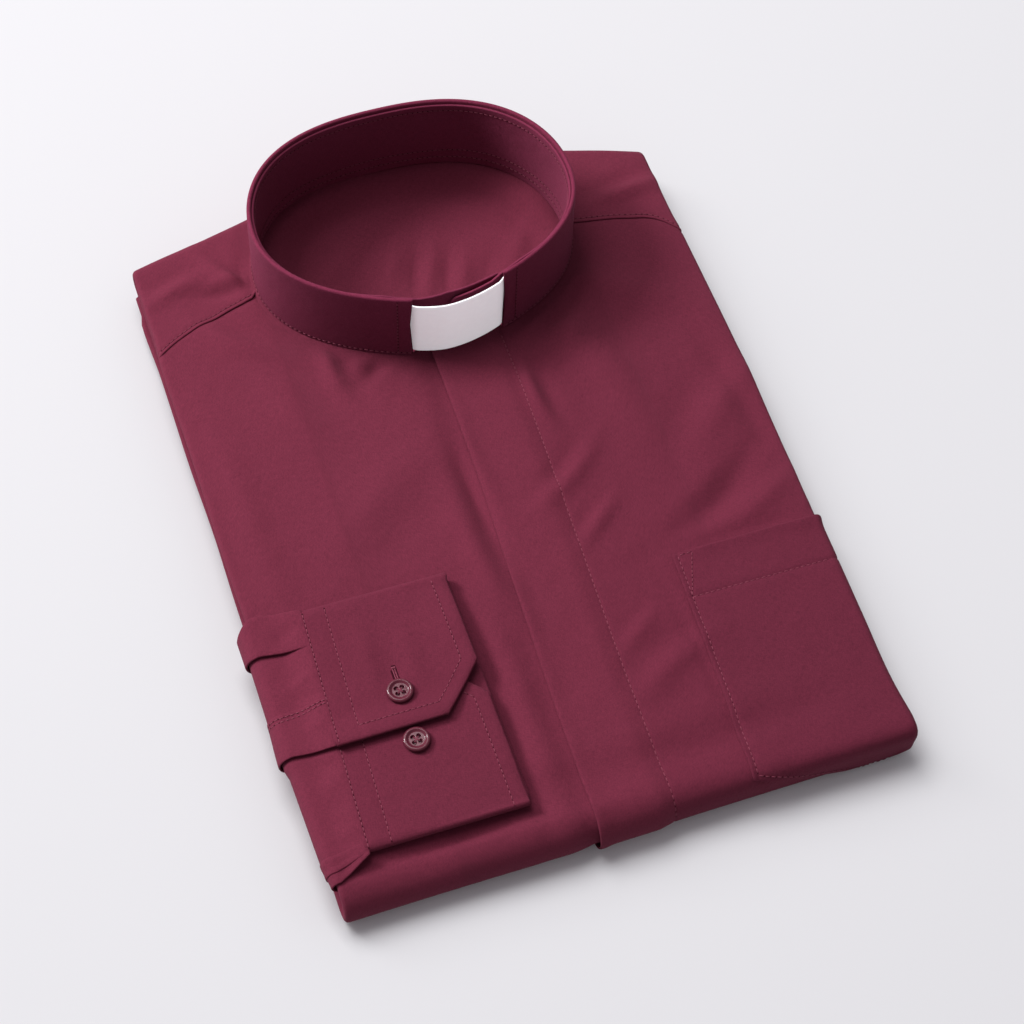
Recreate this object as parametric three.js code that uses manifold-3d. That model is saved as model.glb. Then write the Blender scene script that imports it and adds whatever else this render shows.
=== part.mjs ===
// A long-sleeved clergy shirt, folded flat, with a standing band collar and its slip-in insert.
// Units are millimetres. X runs across the shirt, Y from the folded hem to the collar, Z is up.
import * as THREE from 'three';
import { mergeVertices } from 'three/addons/utils/BufferGeometryUtils.js';
import Module from 'manifold-3d';

const wasm = await Module();
wasm.setup();

// Driving sizes of the folded body
const clothThickness = 1.2;
const seamGap = 0.3;
const bodyHeight = 22;
const hemFoldY = -162;
const underLegEndY = 158;
const leftEdgeX = -128.5;
const rightEdgeX = 127;
const sideFoldRadius = 1.9;
const sideFoldReturn = 5;

// Driving sizes of the collar
const collarCentre = { x: 0.4, y: 138 };
const collarHalfWidth = 76;
const collarBackDepth = 57.6;
const collarFrontDepth = 60.7;
const collarTwist = -3.2;
const collarBackTwist = 2.6;
const collarSquareness = { middle: 2.1, back: 0.3, front: 0.4 };
const collarLeftSeamAngle = 185;
const collarRightSeamAngle = 360;
const collarBottomZ = 20.5;
const collarHeight = 41.7;
const bandThickness = 1.3;
const bandGapLeftX = -17.4;
const bandGapRightX = 26.4;
const collarStep = 7.5;
const seamAngleGap = 1.5;

// Driving sizes of the insert
const insertHeight = 31.8;
const insertThickness = 0.9;
const insertTuck = 6.5;
const insertBulge = 0.5;
const insertDrop = 0.7;

// Driving sizes of the fly
const flyEdgeX = -8.7;
const flyStitchX = 25.5;
const flyLift = clothThickness + seamGap;
const flySlope = 8.5;
const flyDrift = -8.5;

// Driving sizes of the yoke
const shoulderFoldRadius = 5.5;
const yokeInnerEndY = 68;
const neckDipDepth = 3;

// Driving sizes of the sleeve end and cuff
const sleeveThickness = 2;
const sleeveFoldRadius = 5.65;
const sleeveTopY = -35;
const sleeveBottomY = -164;
const sleeveTuckX = -121.5;
const cuffThickness = 1.8;
const cuffTopY = -38;
const cuffBottomY = -154.5;
const cuffOuterX = -42;
const flapEndY = -106;
const underlapEndY = -79;
const cuffMitre = { across: 19, along: 21 };
const flapPuff = 1.8;
const flapPuffStartY = -98;
const flapPuffLength = 8;
const cuffBackReach = 1.2;

// Driving sizes of the pocket
const pocketThickness = 1;
const pocketTopY = -58.4;
const pocketSideLength = 112;
const pocketPointLength = 131;
const pocketPointX = 109;
const pocketEdgeX = 57;
const pocketLean = -6;
const pocketFoldTurn = 110;

// Driving sizes of the buttons
const buttonRadius = 5.2;
const buttonHeight = 2.3;
const buttonHoleRadius = 0.65;
const buttonHoleSpread = 1.35;
const buttonX = -77;
const upperButtonY = -90;
const lowerButtonY = -113;

// Front shoulder seam, read across the shirt
const shoulderSeam = [
  { x: -128.5, y: 115 },
  { x: -119, y: 121 },
  { x: -98, y: 129 },
  { x: -73, y: 136 },
  { x: 80, y: 133 },
  { x: 104, y: 128 },
  { x: 120, y: 121 },
  { x: 127, y: 113 },
];

// Folded edge along the top of the shoulders
const shoulderEdge = [
  { x: -128.5, y: 168 },
  { x: -113, y: 173 },
  { x: -95, y: 177.5 },
  { x: -69, y: 184 },
  { x: -40, y: 193 },
  { x: 0, y: 197 },
  { x: 40, y: 193.3 },
  { x: 69, y: 186.7 },
  { x: 91, y: 179.6 },
  { x: 108, y: 174.2 },
  { x: 127, y: 166 },
];

// How far the two side edges come in, along the shirt
const taperWidth = 45;
const yokeTaperY = 150;
const sideTaper = [
  { y: -175, left: 2.2, right: 2.8 },
  { y: -120, left: 1, right: 3 },
  { y: -20, left: 0, right: 1.2 },
  { y: 60, left: 0, right: 0.2 },
  { y: yokeTaperY, left: 0.5, right: 1.2 },
  { y: 175, left: 2.4, right: 2.4 },
];

// Soft ridges in the cloth near the collar and down the fronts
const ridges = [
  { x: 44, y: 62, turn: 118, length: 34, width: 13, height: 1.3 },
  { x: -92, y: 108, turn: 35, length: 30, width: 14, height: 1.1 },
  { x: -48, y: 66, turn: 62, length: 30, width: 15, height: 0.9 },
  { x: 86, y: 92, turn: 150, length: 32, width: 16, height: 0.8 },
  { x: -100, y: 152, turn: 170, length: 22, width: 13, height: 0.6 },
  { x: 102, y: 150, turn: 10, length: 20, width: 13, height: 0.6 },
];

// Steps of the sleeve end along the shirt: two pleats, and the slit's overlapping edge
const sleeveSteps = [
  { y: sleeveTopY, rise: 0.2 },
  { y: -39, rise: 0.9 },
  { y: -57, rise: 1 },
  { y: -59, rise: 0 },
  { y: -84, rise: 0.1 },
  { y: -106, rise: 0.2 },
  { y: -110, rise: -0.6 },
  { y: -132, rise: -0.3 },
  { y: -150, rise: -0.6 },
  { y: -153, rise: 0.3 },
  { y: -160, rise: 0.4 },
  { y: sleeveBottomY, rise: 0 },
];

// How far the sleeve's side fold comes in, along the shirt
const sleeveEdge = [
  { y: -107, narrow: 0 },
  { y: -111, narrow: 1.2 },
  { y: sleeveBottomY, narrow: 2.8 },
];

// Half section of the hidden stack: height, and reach past the side edge beside the plain
// body, beside the sleeve's tucked part, and under the neck, where the stack is lower
const stackEdge = [
  { z: 3.2, plain: -16, tucked: -16, neck: -16, neckZ: 3.2 },
  { z: 4.2, plain: -14, tucked: -14, neck: -14, neckZ: 4.2 },
  { z: 4.2, plain: -3, tucked: -3, neck: -3, neckZ: 4.2 },
  { z: 5.5, plain: -1.3, tucked: -1.3, neck: -1.3, neckZ: 5.4 },
  { z: 6.8, plain: -3, tucked: -3, neck: -3, neckZ: 6.6 },
  { z: 7.1, plain: -7, tucked: -7, neck: -7, neckZ: 6.9 },
  { z: 7.5, plain: 0, tucked: 0, neck: 0, neckZ: 7.2 },
  { z: 9, plain: 1.5, tucked: 1.5, neck: 1.5, neckZ: 8.6 },
  { z: 10.5, plain: 0, tucked: 0, neck: 0, neckZ: 10 },
  { z: 10.8, plain: -7, tucked: -8, neck: -4, neckZ: 10.2 },
  { z: 11.6, plain: -2, tucked: -10.2, neck: -8, neckZ: 10.3 },
  { z: 14.6, plain: -0.5, tucked: -10.2, neck: -12, neckZ: 10.4 },
  { z: 17.4, plain: -2, tucked: -10.2, neck: -16, neckZ: 10.5 },
  { z: 17.9, plain: -10, tucked: -11, neck: -20, neckZ: 10.55 },
  { z: 20.4, plain: -11.5, tucked: -12, neck: -24, neckZ: 10.6 },
];

const cloth = new THREE.MeshStandardMaterial({ color: 0x6e2437, roughness: 0.85, metalness: 0 });
const whitePlastic = new THREE.MeshStandardMaterial({ color: 0xd9d3dc, roughness: 0.4, metalness: 0 });
const buttonPlastic = new THREE.MeshStandardMaterial({ color: 0x7c3b4c, roughness: 0.3, metalness: 0 });

const shirt = new THREE.Group();

function addMesh(name, geometry, material) {
  const mesh = new THREE.Mesh(geometry, material);
  mesh.name = name;
  shirt.add(mesh);
  return mesh;
}

// Reads a table between its rows
function readTable(rows, key, at, column) {
  const last = rows.length - 1;
  const rising = rows[last][key] > rows[0][key];
  const ordered = rising ? rows : [...rows].reverse();
  if (at <= ordered[0][key]) return ordered[0][column];
  for (let i = 1; i <= last; i += 1) {
    const before = ordered[i - 1];
    const after = ordered[i];
    if (at <= after[key]) {
      const share = (at - before[key]) / (after[key] - before[key]);
      return THREE.MathUtils.lerp(before[column], after[column], share);
    }
  }
  return ordered[last][column];
}

function signedVolume(positions, faces) {
  let total = 0;
  for (let i = 0; i < faces.length; i += 3) {
    const a = positions[faces[i]];
    const b = positions[faces[i + 1]];
    const c = positions[faces[i + 2]];
    total += a.dot(new THREE.Vector3().crossVectors(b, c));
  }
  return total / 6;
}

function solidFrom(positions, faces) {
  const outward = signedVolume(positions, faces) > 0;
  const index = [];
  for (let i = 0; i < faces.length; i += 3) {
    if (outward) index.push(faces[i], faces[i + 1], faces[i + 2]);
    else index.push(faces[i], faces[i + 2], faces[i + 1]);
  }
  const geometry = new THREE.BufferGeometry();
  geometry.setFromPoints(positions);
  geometry.setIndex(index);
  geometry.computeVertexNormals();
  return geometry;
}

// A closed wall between two grids of points, given as rows of equal length
function wallBetween(outer, inner) {
  const rows = outer.length;
  const columns = outer[0].length;
  const positions = [...outer.flat(), ...inner.flat()];
  const offset = rows * columns;
  const at = (r, c, layer) => layer * offset + r * columns + c;
  const faces = [];
  const quad = (a, b, c, d) => faces.push(a, b, c, a, c, d);
  for (let r = 0; r < rows - 1; r += 1) {
    for (let c = 0; c < columns - 1; c += 1) {
      quad(at(r, c, 0), at(r, c + 1, 0), at(r + 1, c + 1, 0), at(r + 1, c, 0));
      quad(at(r, c, 1), at(r + 1, c, 1), at(r + 1, c + 1, 1), at(r, c + 1, 1));
    }
  }
  const lastRow = rows - 1;
  const lastColumn = columns - 1;
  for (let c = 0; c < columns - 1; c += 1) {
    quad(at(0, c + 1, 0), at(0, c, 0), at(0, c, 1), at(0, c + 1, 1));
    quad(at(lastRow, c, 0), at(lastRow, c + 1, 0), at(lastRow, c + 1, 1), at(lastRow, c, 1));
  }
  for (let r = 0; r < rows - 1; r += 1) {
    quad(at(r, 0, 0), at(r + 1, 0, 0), at(r + 1, 0, 1), at(r, 0, 1));
    quad(at(r + 1, lastColumn, 0), at(r, lastColumn, 0), at(r, lastColumn, 1), at(r + 1, lastColumn, 1));
  }
  return solidFrom(positions, faces);
}

// Collar plan: an oval that is squarer at the back than at the front
function collarPlan(angle, outset) {
  const planPoint = (turn) => {
    const backness = Math.max(Math.sin(turn), 0);
    const atBack = backness > 0;
    const depth = atBack ? collarBackDepth : collarFrontDepth;
    const across = Math.abs(Math.cos(turn)) / collarHalfWidth;
    const along = Math.abs(Math.sin(turn)) / depth;
    const squareness = atBack ? collarSquareness.back : collarSquareness.front;
    const power = collarSquareness.middle + squareness * Math.sin(turn);
    const radius = (across ** power + along ** power) ** (-1 / power);
    const twist = collarTwist + collarBackTwist * backness ** 2;
    const twisted = turn + THREE.MathUtils.degToRad(twist);
    return new THREE.Vector2(
      collarCentre.x + radius * Math.cos(twisted),
      collarCentre.y + radius * Math.sin(twisted),
    );
  };
  const turn = THREE.MathUtils.degToRad(angle);
  const small = 0.002;
  const tangent = planPoint(turn + small).sub(planPoint(turn - small)).normalize();
  const point = planPoint(turn);
  return new THREE.Vector2(point.x + tangent.y * outset, point.y - tangent.x * outset);
}

// Angle at which the front of the collar plan stands at a given x
function frontAngleAt(x) {
  let low = 180;
  let high = 360;
  for (let i = 0; i < 40; i += 1) {
    const middle = (low + high) / 2;
    if (collarPlan(middle, 0).x < x) low = middle;
    else high = middle;
  }
  return (low + high) / 2;
}

// Even angles between two limits, with the limits themselves
function anglesBetween(start, end) {
  const list = [start];
  const first = Math.ceil(start / collarStep + 0.25) * collarStep;
  for (let angle = first; angle < end - collarStep * 0.25; angle += collarStep) list.push(angle);
  list.push(end);
  return list;
}

function ridgeHeight(x, y) {
  let height = 0;
  for (const ridge of ridges) {
    const turn = THREE.MathUtils.degToRad(ridge.turn);
    const along = (x - ridge.x) * Math.cos(turn) + (y - ridge.y) * Math.sin(turn);
    const across = (y - ridge.y) * Math.cos(turn) - (x - ridge.x) * Math.sin(turn);
    height += ridge.height * Math.exp(-((along / ridge.length) ** 2) - (across / ridge.width) ** 2);
  }
  return height;
}

// The body's surface: s is the way along it, from the collar over the hem fold and under.
// On the upper leg s is -y. Depth is measured in from the surface.
const hemFoldRadius = bodyHeight / 2;
const hemFoldStart = -hemFoldY;
const hemFoldEnd = hemFoldStart + Math.PI * hemFoldRadius;

function bodyPoint(x, s, depth) {
  if (s <= hemFoldStart) {
    return new THREE.Vector3(x, -s, bodyHeight + ridgeHeight(x, -s) - depth);
  }
  if (s >= hemFoldEnd) {
    return new THREE.Vector3(x, hemFoldY + s - hemFoldEnd, depth);
  }
  const turn = (s - hemFoldStart) / hemFoldRadius;
  const radius = hemFoldRadius - depth;
  return new THREE.Vector3(
    x,
    hemFoldY - radius * Math.sin(turn),
    hemFoldRadius + radius * Math.cos(turn),
  );
}

const upperLegY = (s) => Math.max(-s, hemFoldY);

// The fly wanders towards the wearer's right on its way down
function driftAt(x, s) {
  const share = THREE.MathUtils.smoothstep(80 + s, 0, 250);
  const left = THREE.MathUtils.smoothstep(x, -70, -20);
  const right = 1 - THREE.MathUtils.smoothstep(x, 30, 100);
  return flyDrift * share * left * right;
}

function taperAt(x, s) {
  const y = upperLegY(s);
  const left = 1 - THREE.MathUtils.smoothstep(x, leftEdgeX, leftEdgeX + taperWidth);
  const right = THREE.MathUtils.smoothstep(x, rightEdgeX - taperWidth, rightEdgeX);
  const inFromLeft = left * readTable(sideTaper, 'y', y, 'left');
  const inFromRight = right * readTable(sideTaper, 'y', y, 'right');
  return inFromLeft - inFromRight;
}

const panelX = (x, s) => x + driftAt(x, s) + taperAt(x, s);

// A column is one line of points down a panel, with its place in the side fold
const flatColumn = (x, startY) => ({ x, startY, depth: 0, inX: 0, inDepth: 1 });

function sideFoldColumns(edgeX, inward, startY, lastTurn, withReturn) {
  const columns = [];
  const steps = 4;
  for (let i = 0; i <= steps; i += 1) {
    const turn = THREE.MathUtils.degToRad((lastTurn * i) / steps);
    columns.push({
      x: edgeX + inward * sideFoldRadius * (1 - Math.sin(turn)),
      startY,
      depth: sideFoldRadius * (1 - Math.cos(turn)),
      inX: inward * Math.sin(turn),
      inDepth: Math.cos(turn),
    });
  }
  if (withReturn) {
    columns.push({
      x: edgeX + inward * (sideFoldRadius + sideFoldReturn),
      startY,
      depth: 2 * sideFoldRadius,
      inX: 0,
      inDepth: -1,
    });
  }
  return columns;
}

function columnPoint(column, s, lift) {
  const edgeShift = panelX(column.x, s);
  return bodyPoint(edgeShift - column.inX * lift, s, column.depth - column.inDepth * lift);
}

// Rows down the body below the collar
const upperRows = [-60, -28, 12, 60, 110, hemFoldStart];
const foldSteps = 6;
const foldRows = Array.from({ length: foldSteps }, (_, i) => (
  hemFoldStart + ((i + 1) * Math.PI * hemFoldRadius) / foldSteps
));
const underRows = [hemFoldEnd + 160, hemFoldEnd + underLegEndY - hemFoldY];
const startSteps = 3;

function panelRows(column) {
  const start = -column.startY;
  const rows = [];
  for (let i = 0; i < startSteps; i += 1) {
    rows.push(THREE.MathUtils.lerp(start, upperRows[0], i / startSteps));
  }
  return [...rows, ...upperRows, ...foldRows, ...underRows];
}

function panelWall(columns, liftAt, thickness) {
  const rowCount = panelRows(columns[0]).length;
  const outer = [];
  const inner = [];
  for (let r = 0; r < rowCount; r += 1) {
    outer.push(columns.map((column) => {
      const s = panelRows(column)[r];
      return columnPoint(column, s, liftAt(column.x, s));
    }));
    inner.push(columns.map((column) => {
      const s = panelRows(column)[r];
      return columnPoint(column, s, liftAt(column.x, s) - thickness);
    }));
  }
  return wallBetween(outer, inner);
}

const seamY = (x) => readTable(shoulderSeam, 'x', x, 'y');

function collarColumn(angle, outset) {
  const point = collarPlan(angle, outset);
  return flatColumn(point.x, point.y);
}

// How much of the fly's lift is left on the way round the hem fold
function flyShare(s) {
  const middle = (hemFoldStart + hemFoldEnd) / 2;
  return 1 - THREE.MathUtils.clamp((s - middle) / (hemFoldEnd - middle), 0, 1);
}

// Fronts, whose columns beyond the collar start at the shoulder seam
const rightSeamStations = [-80, -90, -104, -116];
const leftSeamStations = [84, 94, 106, 117];
const underlapEdgeX = 15.7;
const underlapStepX = -13;
const underlapStepWidth = 3;
const frontHeadColumn = (x) => flatColumn(x, collarPlan(frontAngleAt(x), seamGap).y);
const seamColumn = (x) => flatColumn(x, seamY(x) - seamGap);

function frontRightColumns() {
  const necks = anglesBetween(collarLeftSeamAngle + seamAngleGap, frontAngleAt(-20)).reverse();
  const underlapColumns = [underlapEdgeX, 3, underlapStepX + underlapStepWidth, underlapStepX];
  const columns = underlapColumns.map(frontHeadColumn);
  columns.push(...necks.map((angle) => collarColumn(angle, seamGap)));
  columns.push(...rightSeamStations.map(seamColumn));
  const edgeStart = seamY(leftEdgeX) - seamGap;
  columns.push(...sideFoldColumns(leftEdgeX, 1, edgeStart, 180, true));
  return columns;
}

function frontLeftColumns() {
  const columns = [frontHeadColumn(flyStitchX + seamGap)];
  const necks = anglesBetween(frontAngleAt(32), collarRightSeamAngle - seamAngleGap);
  columns.push(...necks.map((angle) => collarColumn(angle, seamGap)));
  columns.push(...leftSeamStations.map(seamColumn));
  const edgeStart = seamY(rightEdgeX) - seamGap;
  columns.push(...sideFoldColumns(rightEdgeX, -1, edgeStart, 180, true));
  return columns;
}

function underlapLift(x, s) {
  const share = THREE.MathUtils.clamp((x - underlapStepX) / underlapStepWidth, 0, 1);
  return -flyLift * share * (1 - flyShare(s));
}

addMesh('front_right', panelWall(frontRightColumns(), underlapLift, clothThickness), cloth);
addMesh('front_left', panelWall(frontLeftColumns(), () => 0, clothThickness), cloth);

// Fly placket, which lies over the right front and comes level at its stitching
function flyLiftAt(x, s) {
  const slope = THREE.MathUtils.clamp((flyStitchX - x) / flySlope, 0, 1);
  return flyLift * slope * flyShare(s);
}

const flySlopeX = flyStitchX - flySlope;
const flyStations = [flyEdgeX, flyEdgeX + 8, flySlopeX - 1, flySlopeX, flyStitchX];
const flyColumns = flyStations.map(frontHeadColumn);
addMesh('fly_placket', panelWall(flyColumns, flyLiftAt, clothThickness), cloth);

// Yoke: over the shoulder edge and back under the neck
const neckDipReach = { across: 46, along: 36, forward: 6 };

function neckDip(x, y) {
  const across = (x - collarCentre.x) / neckDipReach.across;
  const along = (y - collarCentre.y + neckDipReach.forward) / neckDipReach.along;
  return neckDipDepth * Math.exp(-(across ** 2) - along ** 2);
}

// On the yoke s is 0 where the shoulder fold starts, and negative on the upper leg
function yokePoint(x, s, depth) {
  const foldY = readTable(shoulderEdge, 'x', x, 'y') - shoulderFoldRadius;
  const foldLength = Math.PI * shoulderFoldRadius;
  if (s <= 0) {
    return new THREE.Vector3(x, foldY + s, bodyHeight + ridgeHeight(x, foldY + s) - depth);
  }
  if (s >= foldLength) {
    const y = foldY - (s - foldLength);
    const underZ = bodyHeight - 2 * shoulderFoldRadius;
    return new THREE.Vector3(x, y, underZ - neckDip(x, y) + depth);
  }
  const turn = s / shoulderFoldRadius;
  const radius = shoulderFoldRadius - depth;
  const rise = ridgeHeight(x, foldY) * (1 + Math.cos(turn)) / 2;
  const dip = neckDip(x, foldY) * (1 - Math.cos(turn)) / 2;
  return new THREE.Vector3(
    x,
    foldY + radius * Math.sin(turn),
    bodyHeight - shoulderFoldRadius + radius * Math.cos(turn) + rise - dip,
  );
}

const collarBackGap = 0.7;

function yokeColumns() {
  const yokeSeamColumn = (x) => flatColumn(x, seamY(x));
  const left = [...rightSeamStations].reverse().map(yokeSeamColumn);
  const right = leftSeamStations.map(yokeSeamColumn);
  const arcStart = collarRightSeamAngle - 360 + seamAngleGap;
  const arcEnd = collarLeftSeamAngle - seamAngleGap;
  const arc = anglesBetween(arcStart, arcEnd).reverse();
  const neck = arc.map((angle) => collarColumn(angle, collarBackGap));
  return [
    ...sideFoldColumns(leftEdgeX, 1, seamY(leftEdgeX), 180, true).reverse(),
    ...left,
    ...neck,
    ...right,
    ...sideFoldColumns(rightEdgeX, -1, seamY(rightEdgeX), 180, true),
  ];
}

function yokeWall() {
  const columns = yokeColumns();
  const foldLength = Math.PI * shoulderFoldRadius;
  const topSteps = 3;
  const roundSteps = 6;
  const underShares = [0.25, 0.5, 0.75, 1];
  const shareBeforeRound = 0.3;
  const outer = [];
  const inner = [];
  const rowsOf = (column) => {
    const foldY = readTable(shoulderEdge, 'x', column.x, 'y') - shoulderFoldRadius;
    const beyond = THREE.MathUtils.clamp((column.startY - foldY) / shoulderFoldRadius, -1, 1);
    const start = beyond > 0 ? Math.asin(beyond) * shoulderFoldRadius : column.startY - foldY;
    const roundStart = start < 0 ? 0 : THREE.MathUtils.lerp(start, foldLength, shareBeforeRound);
    const rows = [];
    for (let i = 0; i < topSteps; i += 1) {
      rows.push(THREE.MathUtils.lerp(start, roundStart, i / topSteps));
    }
    for (let i = 0; i <= roundSteps; i += 1) {
      rows.push(THREE.MathUtils.lerp(roundStart, foldLength, i / roundSteps));
    }
    const underLength = foldY - yokeInnerEndY;
    rows.push(...underShares.map((share) => foldLength + share * underLength));
    return rows;
  };
  const rowCount = rowsOf(columns[0]).length;
  for (let r = 0; r < rowCount; r += 1) {
    const line = columns.map((column) => ({ column, s: rowsOf(column)[r] }));
    outer.push(line.map(({ column, s }) => {
      const x = column.x + taperAt(column.x, -yokeTaperY);
      return yokePoint(x, s, column.depth);
    }));
    inner.push(line.map(({ column, s }) => {
      const x = column.x + taperAt(column.x, -yokeTaperY) + column.inX * clothThickness;
      return yokePoint(x, s, column.depth + column.inDepth * clothThickness);
    }));
  }
  return wallBetween(outer, inner);
}

addMesh('yoke', yokeWall(), cloth);

// Collar walls: a strip round the plan, set in from it, between two heights
function collarWall(angles, insetAt, thickness, bottomAt, topAt, heightSteps) {
  const outer = [];
  const inner = [];
  for (let r = 0; r <= heightSteps; r += 1) {
    const row = (extra) => angles.map((angle) => {
      const plan = collarPlan(angle, -insetAt(angle) - extra);
      const z = THREE.MathUtils.lerp(bottomAt(angle), topAt(angle), r / heightSteps);
      return new THREE.Vector3(plan.x, plan.y, z);
    });
    outer.push(row(0));
    inner.push(row(thickness));
  }
  return wallBetween(outer, inner);
}

const collarTopZ = collarBottomZ + collarHeight;
const bandStart = frontAngleAt(bandGapRightX) - 360;
const bandEnd = frontAngleAt(bandGapLeftX);
const bandAngles = anglesBetween(bandStart, bandEnd);
addMesh(
  'collar_band',
  collarWall(bandAngles, () => 0, bandThickness, () => collarBottomZ, () => collarTopZ, 2),
  cloth,
);

// The stand follows the band, steps in behind the insert, and its two ends cross there
const standNearEnd = frontAngleAt(1.5) - 360;
const standFarEnd = frontAngleAt(29);
const standInset = bandThickness + seamGap;
const standSections = [
  { angle: standNearEnd, inset: 5, drop: 9.2 },
  { angle: frontAngleAt(23) - 360, inset: 4.2, drop: 7.4 },
  { angle: frontAngleAt(29) - 360, inset: 3.6, drop: 3.8 },
  { angle: frontAngleAt(38) - 360, inset: 3, drop: 2 },
  { angle: frontAngleAt(52) - 360, inset: standInset, drop: 0 },
  { angle: frontAngleAt(-46), inset: standInset, drop: 0 },
  { angle: frontAngleAt(-30), inset: 3.2, drop: 2 },
  { angle: frontAngleAt(-22), inset: 4, drop: 4 },
  { angle: frontAngleAt(-15), inset: 4.8, drop: 5.6 },
  { angle: frontAngleAt(0), inset: 6.9, drop: 5.8 },
  { angle: frontAngleAt(24), inset: 7.5, drop: 8.7 },
  { angle: standFarEnd, inset: 7.6, drop: 9.5 },
];
const standInsetAt = (angle) => readTable(standSections, 'angle', angle, 'inset');
const standTopAt = (angle) => collarTopZ - readTable(standSections, 'angle', angle, 'drop');
const standAngles = anglesBetween(standNearEnd, standFarEnd);
addMesh(
  'collar_stand',
  collarWall(standAngles, standInsetAt, clothThickness, () => collarBottomZ, standTopAt, 2),
  cloth,
);

// White insert, held between the band and the stand at both ends
const insertBottomZ = collarBottomZ + (collarHeight - insertHeight) / 2 - insertDrop;
const insertAngles = anglesBetween(
  frontAngleAt(bandGapLeftX - insertTuck),
  frontAngleAt(bandGapRightX + insertTuck),
);
const insertMiddle = (insertAngles[0] + insertAngles.at(-1)) / 2;
const insertTuckedShare = 0.75;
const insertInsetAt = (angle) => {
  const away = Math.abs(angle - insertMiddle) / (insertAngles.at(-1) - insertMiddle);
  const share = THREE.MathUtils.smoothstep(away, 0, insertTuckedShare);
  return THREE.MathUtils.lerp(insertBulge, standInset, share);
};
addMesh(
  'collar_tab',
  collarWall(
    insertAngles,
    insertInsetAt,
    insertThickness,
    () => insertBottomZ,
    () => insertBottomZ + insertHeight,
    2,
  ),
  whitePlastic,
);

// Chest pocket, which lies on the left front and follows it round the side and hem folds
const pocketSteps = [0, 11, 22, 33, 44, 52, 60, 67];
const pocketLeanWidth = 60;

function pocketGrid(lift) {
  const flatPart = pocketSteps.map((step) => flatColumn(pocketEdgeX + step, 0));
  const fold = sideFoldColumns(rightEdgeX, -1, 0, pocketFoldTurn, false);
  const columns = [...flatPart, ...fold];
  const top = -pocketTopY;
  const rows = [top, 70, 110, hemFoldStart, ...foldRows.slice(0, foldSteps - 1)];
  const lengthAt = (x) => {
    const share = Math.min(Math.abs(x - pocketPointX) / (pocketPointX - pocketEdgeX), 1);
    return THREE.MathUtils.lerp(pocketPointLength, pocketSideLength, share);
  };
  const leanAt = (x, s) => {
    const down = Math.min((s - top) / pocketSideLength, 1);
    const across = THREE.MathUtils.smoothstep(x, pocketEdgeX, pocketEdgeX + pocketLeanWidth);
    return pocketLean * down * (1 - across);
  };
  return rows.map((row) => columns.map((column) => {
    const s = Math.min(row, top + lengthAt(column.x));
    const x = column.x + taperAt(column.x, s) + leanAt(column.x, s) - column.inX * lift;
    return bodyPoint(x, s, column.depth - column.inDepth * lift);
  }));
}

addMesh('pocket', wallBetween(pocketGrid(seamGap + pocketThickness), pocketGrid(seamGap)), cloth);

// Sleeve end: it lies on the right front, wraps round the side and tucks into the stack
const cuffSeamTopX = -106;
const cuffSeamBottomX = -111;
const cuffSeamX = (y) => (
  THREE.MathUtils.mapLinear(y, cuffTopY, cuffBottomY, cuffSeamTopX, cuffSeamBottomX)
);
const sleeveSectionTurns = 6;
const sleeveFoldInset = 1.4;

function sleeveSection(y, lift) {
  const narrow = readTable(sleeveEdge, 'y', y, 'narrow');
  const centreX = leftEdgeX + sleeveFoldInset + narrow;
  const centreZ = bodyHeight + seamGap + sleeveThickness - sleeveFoldRadius;
  const radius = sleeveFoldRadius + lift;
  const start = cuffSeamX(y) - seamGap / 2;
  const flatMiddle = THREE.MathUtils.lerp(start, centreX, 0.45);
  const points = [start, flatMiddle].map((x) => ({ x, z: centreZ + radius }));
  for (let i = 0; i <= sleeveSectionTurns; i += 1) {
    const turn = (Math.PI * i) / sleeveSectionTurns;
    points.push({ x: centreX - radius * Math.sin(turn), z: centreZ + radius * Math.cos(turn) });
  }
  points.push({ x: sleeveTuckX, z: centreZ - radius });
  const along = (y - sleeveTopY) / (sleeveBottomY - sleeveTopY);
  const seamLineY = THREE.MathUtils.lerp(cuffTopY, cuffBottomY, along) - 1;
  return points.map((point, i) => {
    const slant = Math.max(0, 1 - i / 2);
    return new THREE.Vector3(point.x, THREE.MathUtils.lerp(y, seamLineY, slant), point.z);
  });
}

const sleeveRise = (y) => readTable(sleeveSteps, 'y', y, 'rise');
addMesh(
  'sleeve_right',
  wallBetween(
    sleeveSteps.map(({ y, rise }) => sleeveSection(y, rise)),
    sleeveSteps.map(({ y }) => sleeveSection(y, -sleeveThickness)),
  ),
  cloth,
);

// Binding of the sleeve's slit, on top of the sleeve end
const bindingRows = [-84.5, -95, -105.5];
const bindingPoints = 6;
const bindingThickness = 1;
const bindingLayer = (lift) => bindingRows.map((y) => (
  sleeveSection(y, sleeveRise(y) + lift).slice(0, bindingPoints)
));
const bindingTop = bindingLayer(seamGap + bindingThickness);
addMesh('sleeve_placket', wallBetween(bindingTop, bindingLayer(seamGap)), cloth);

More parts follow.
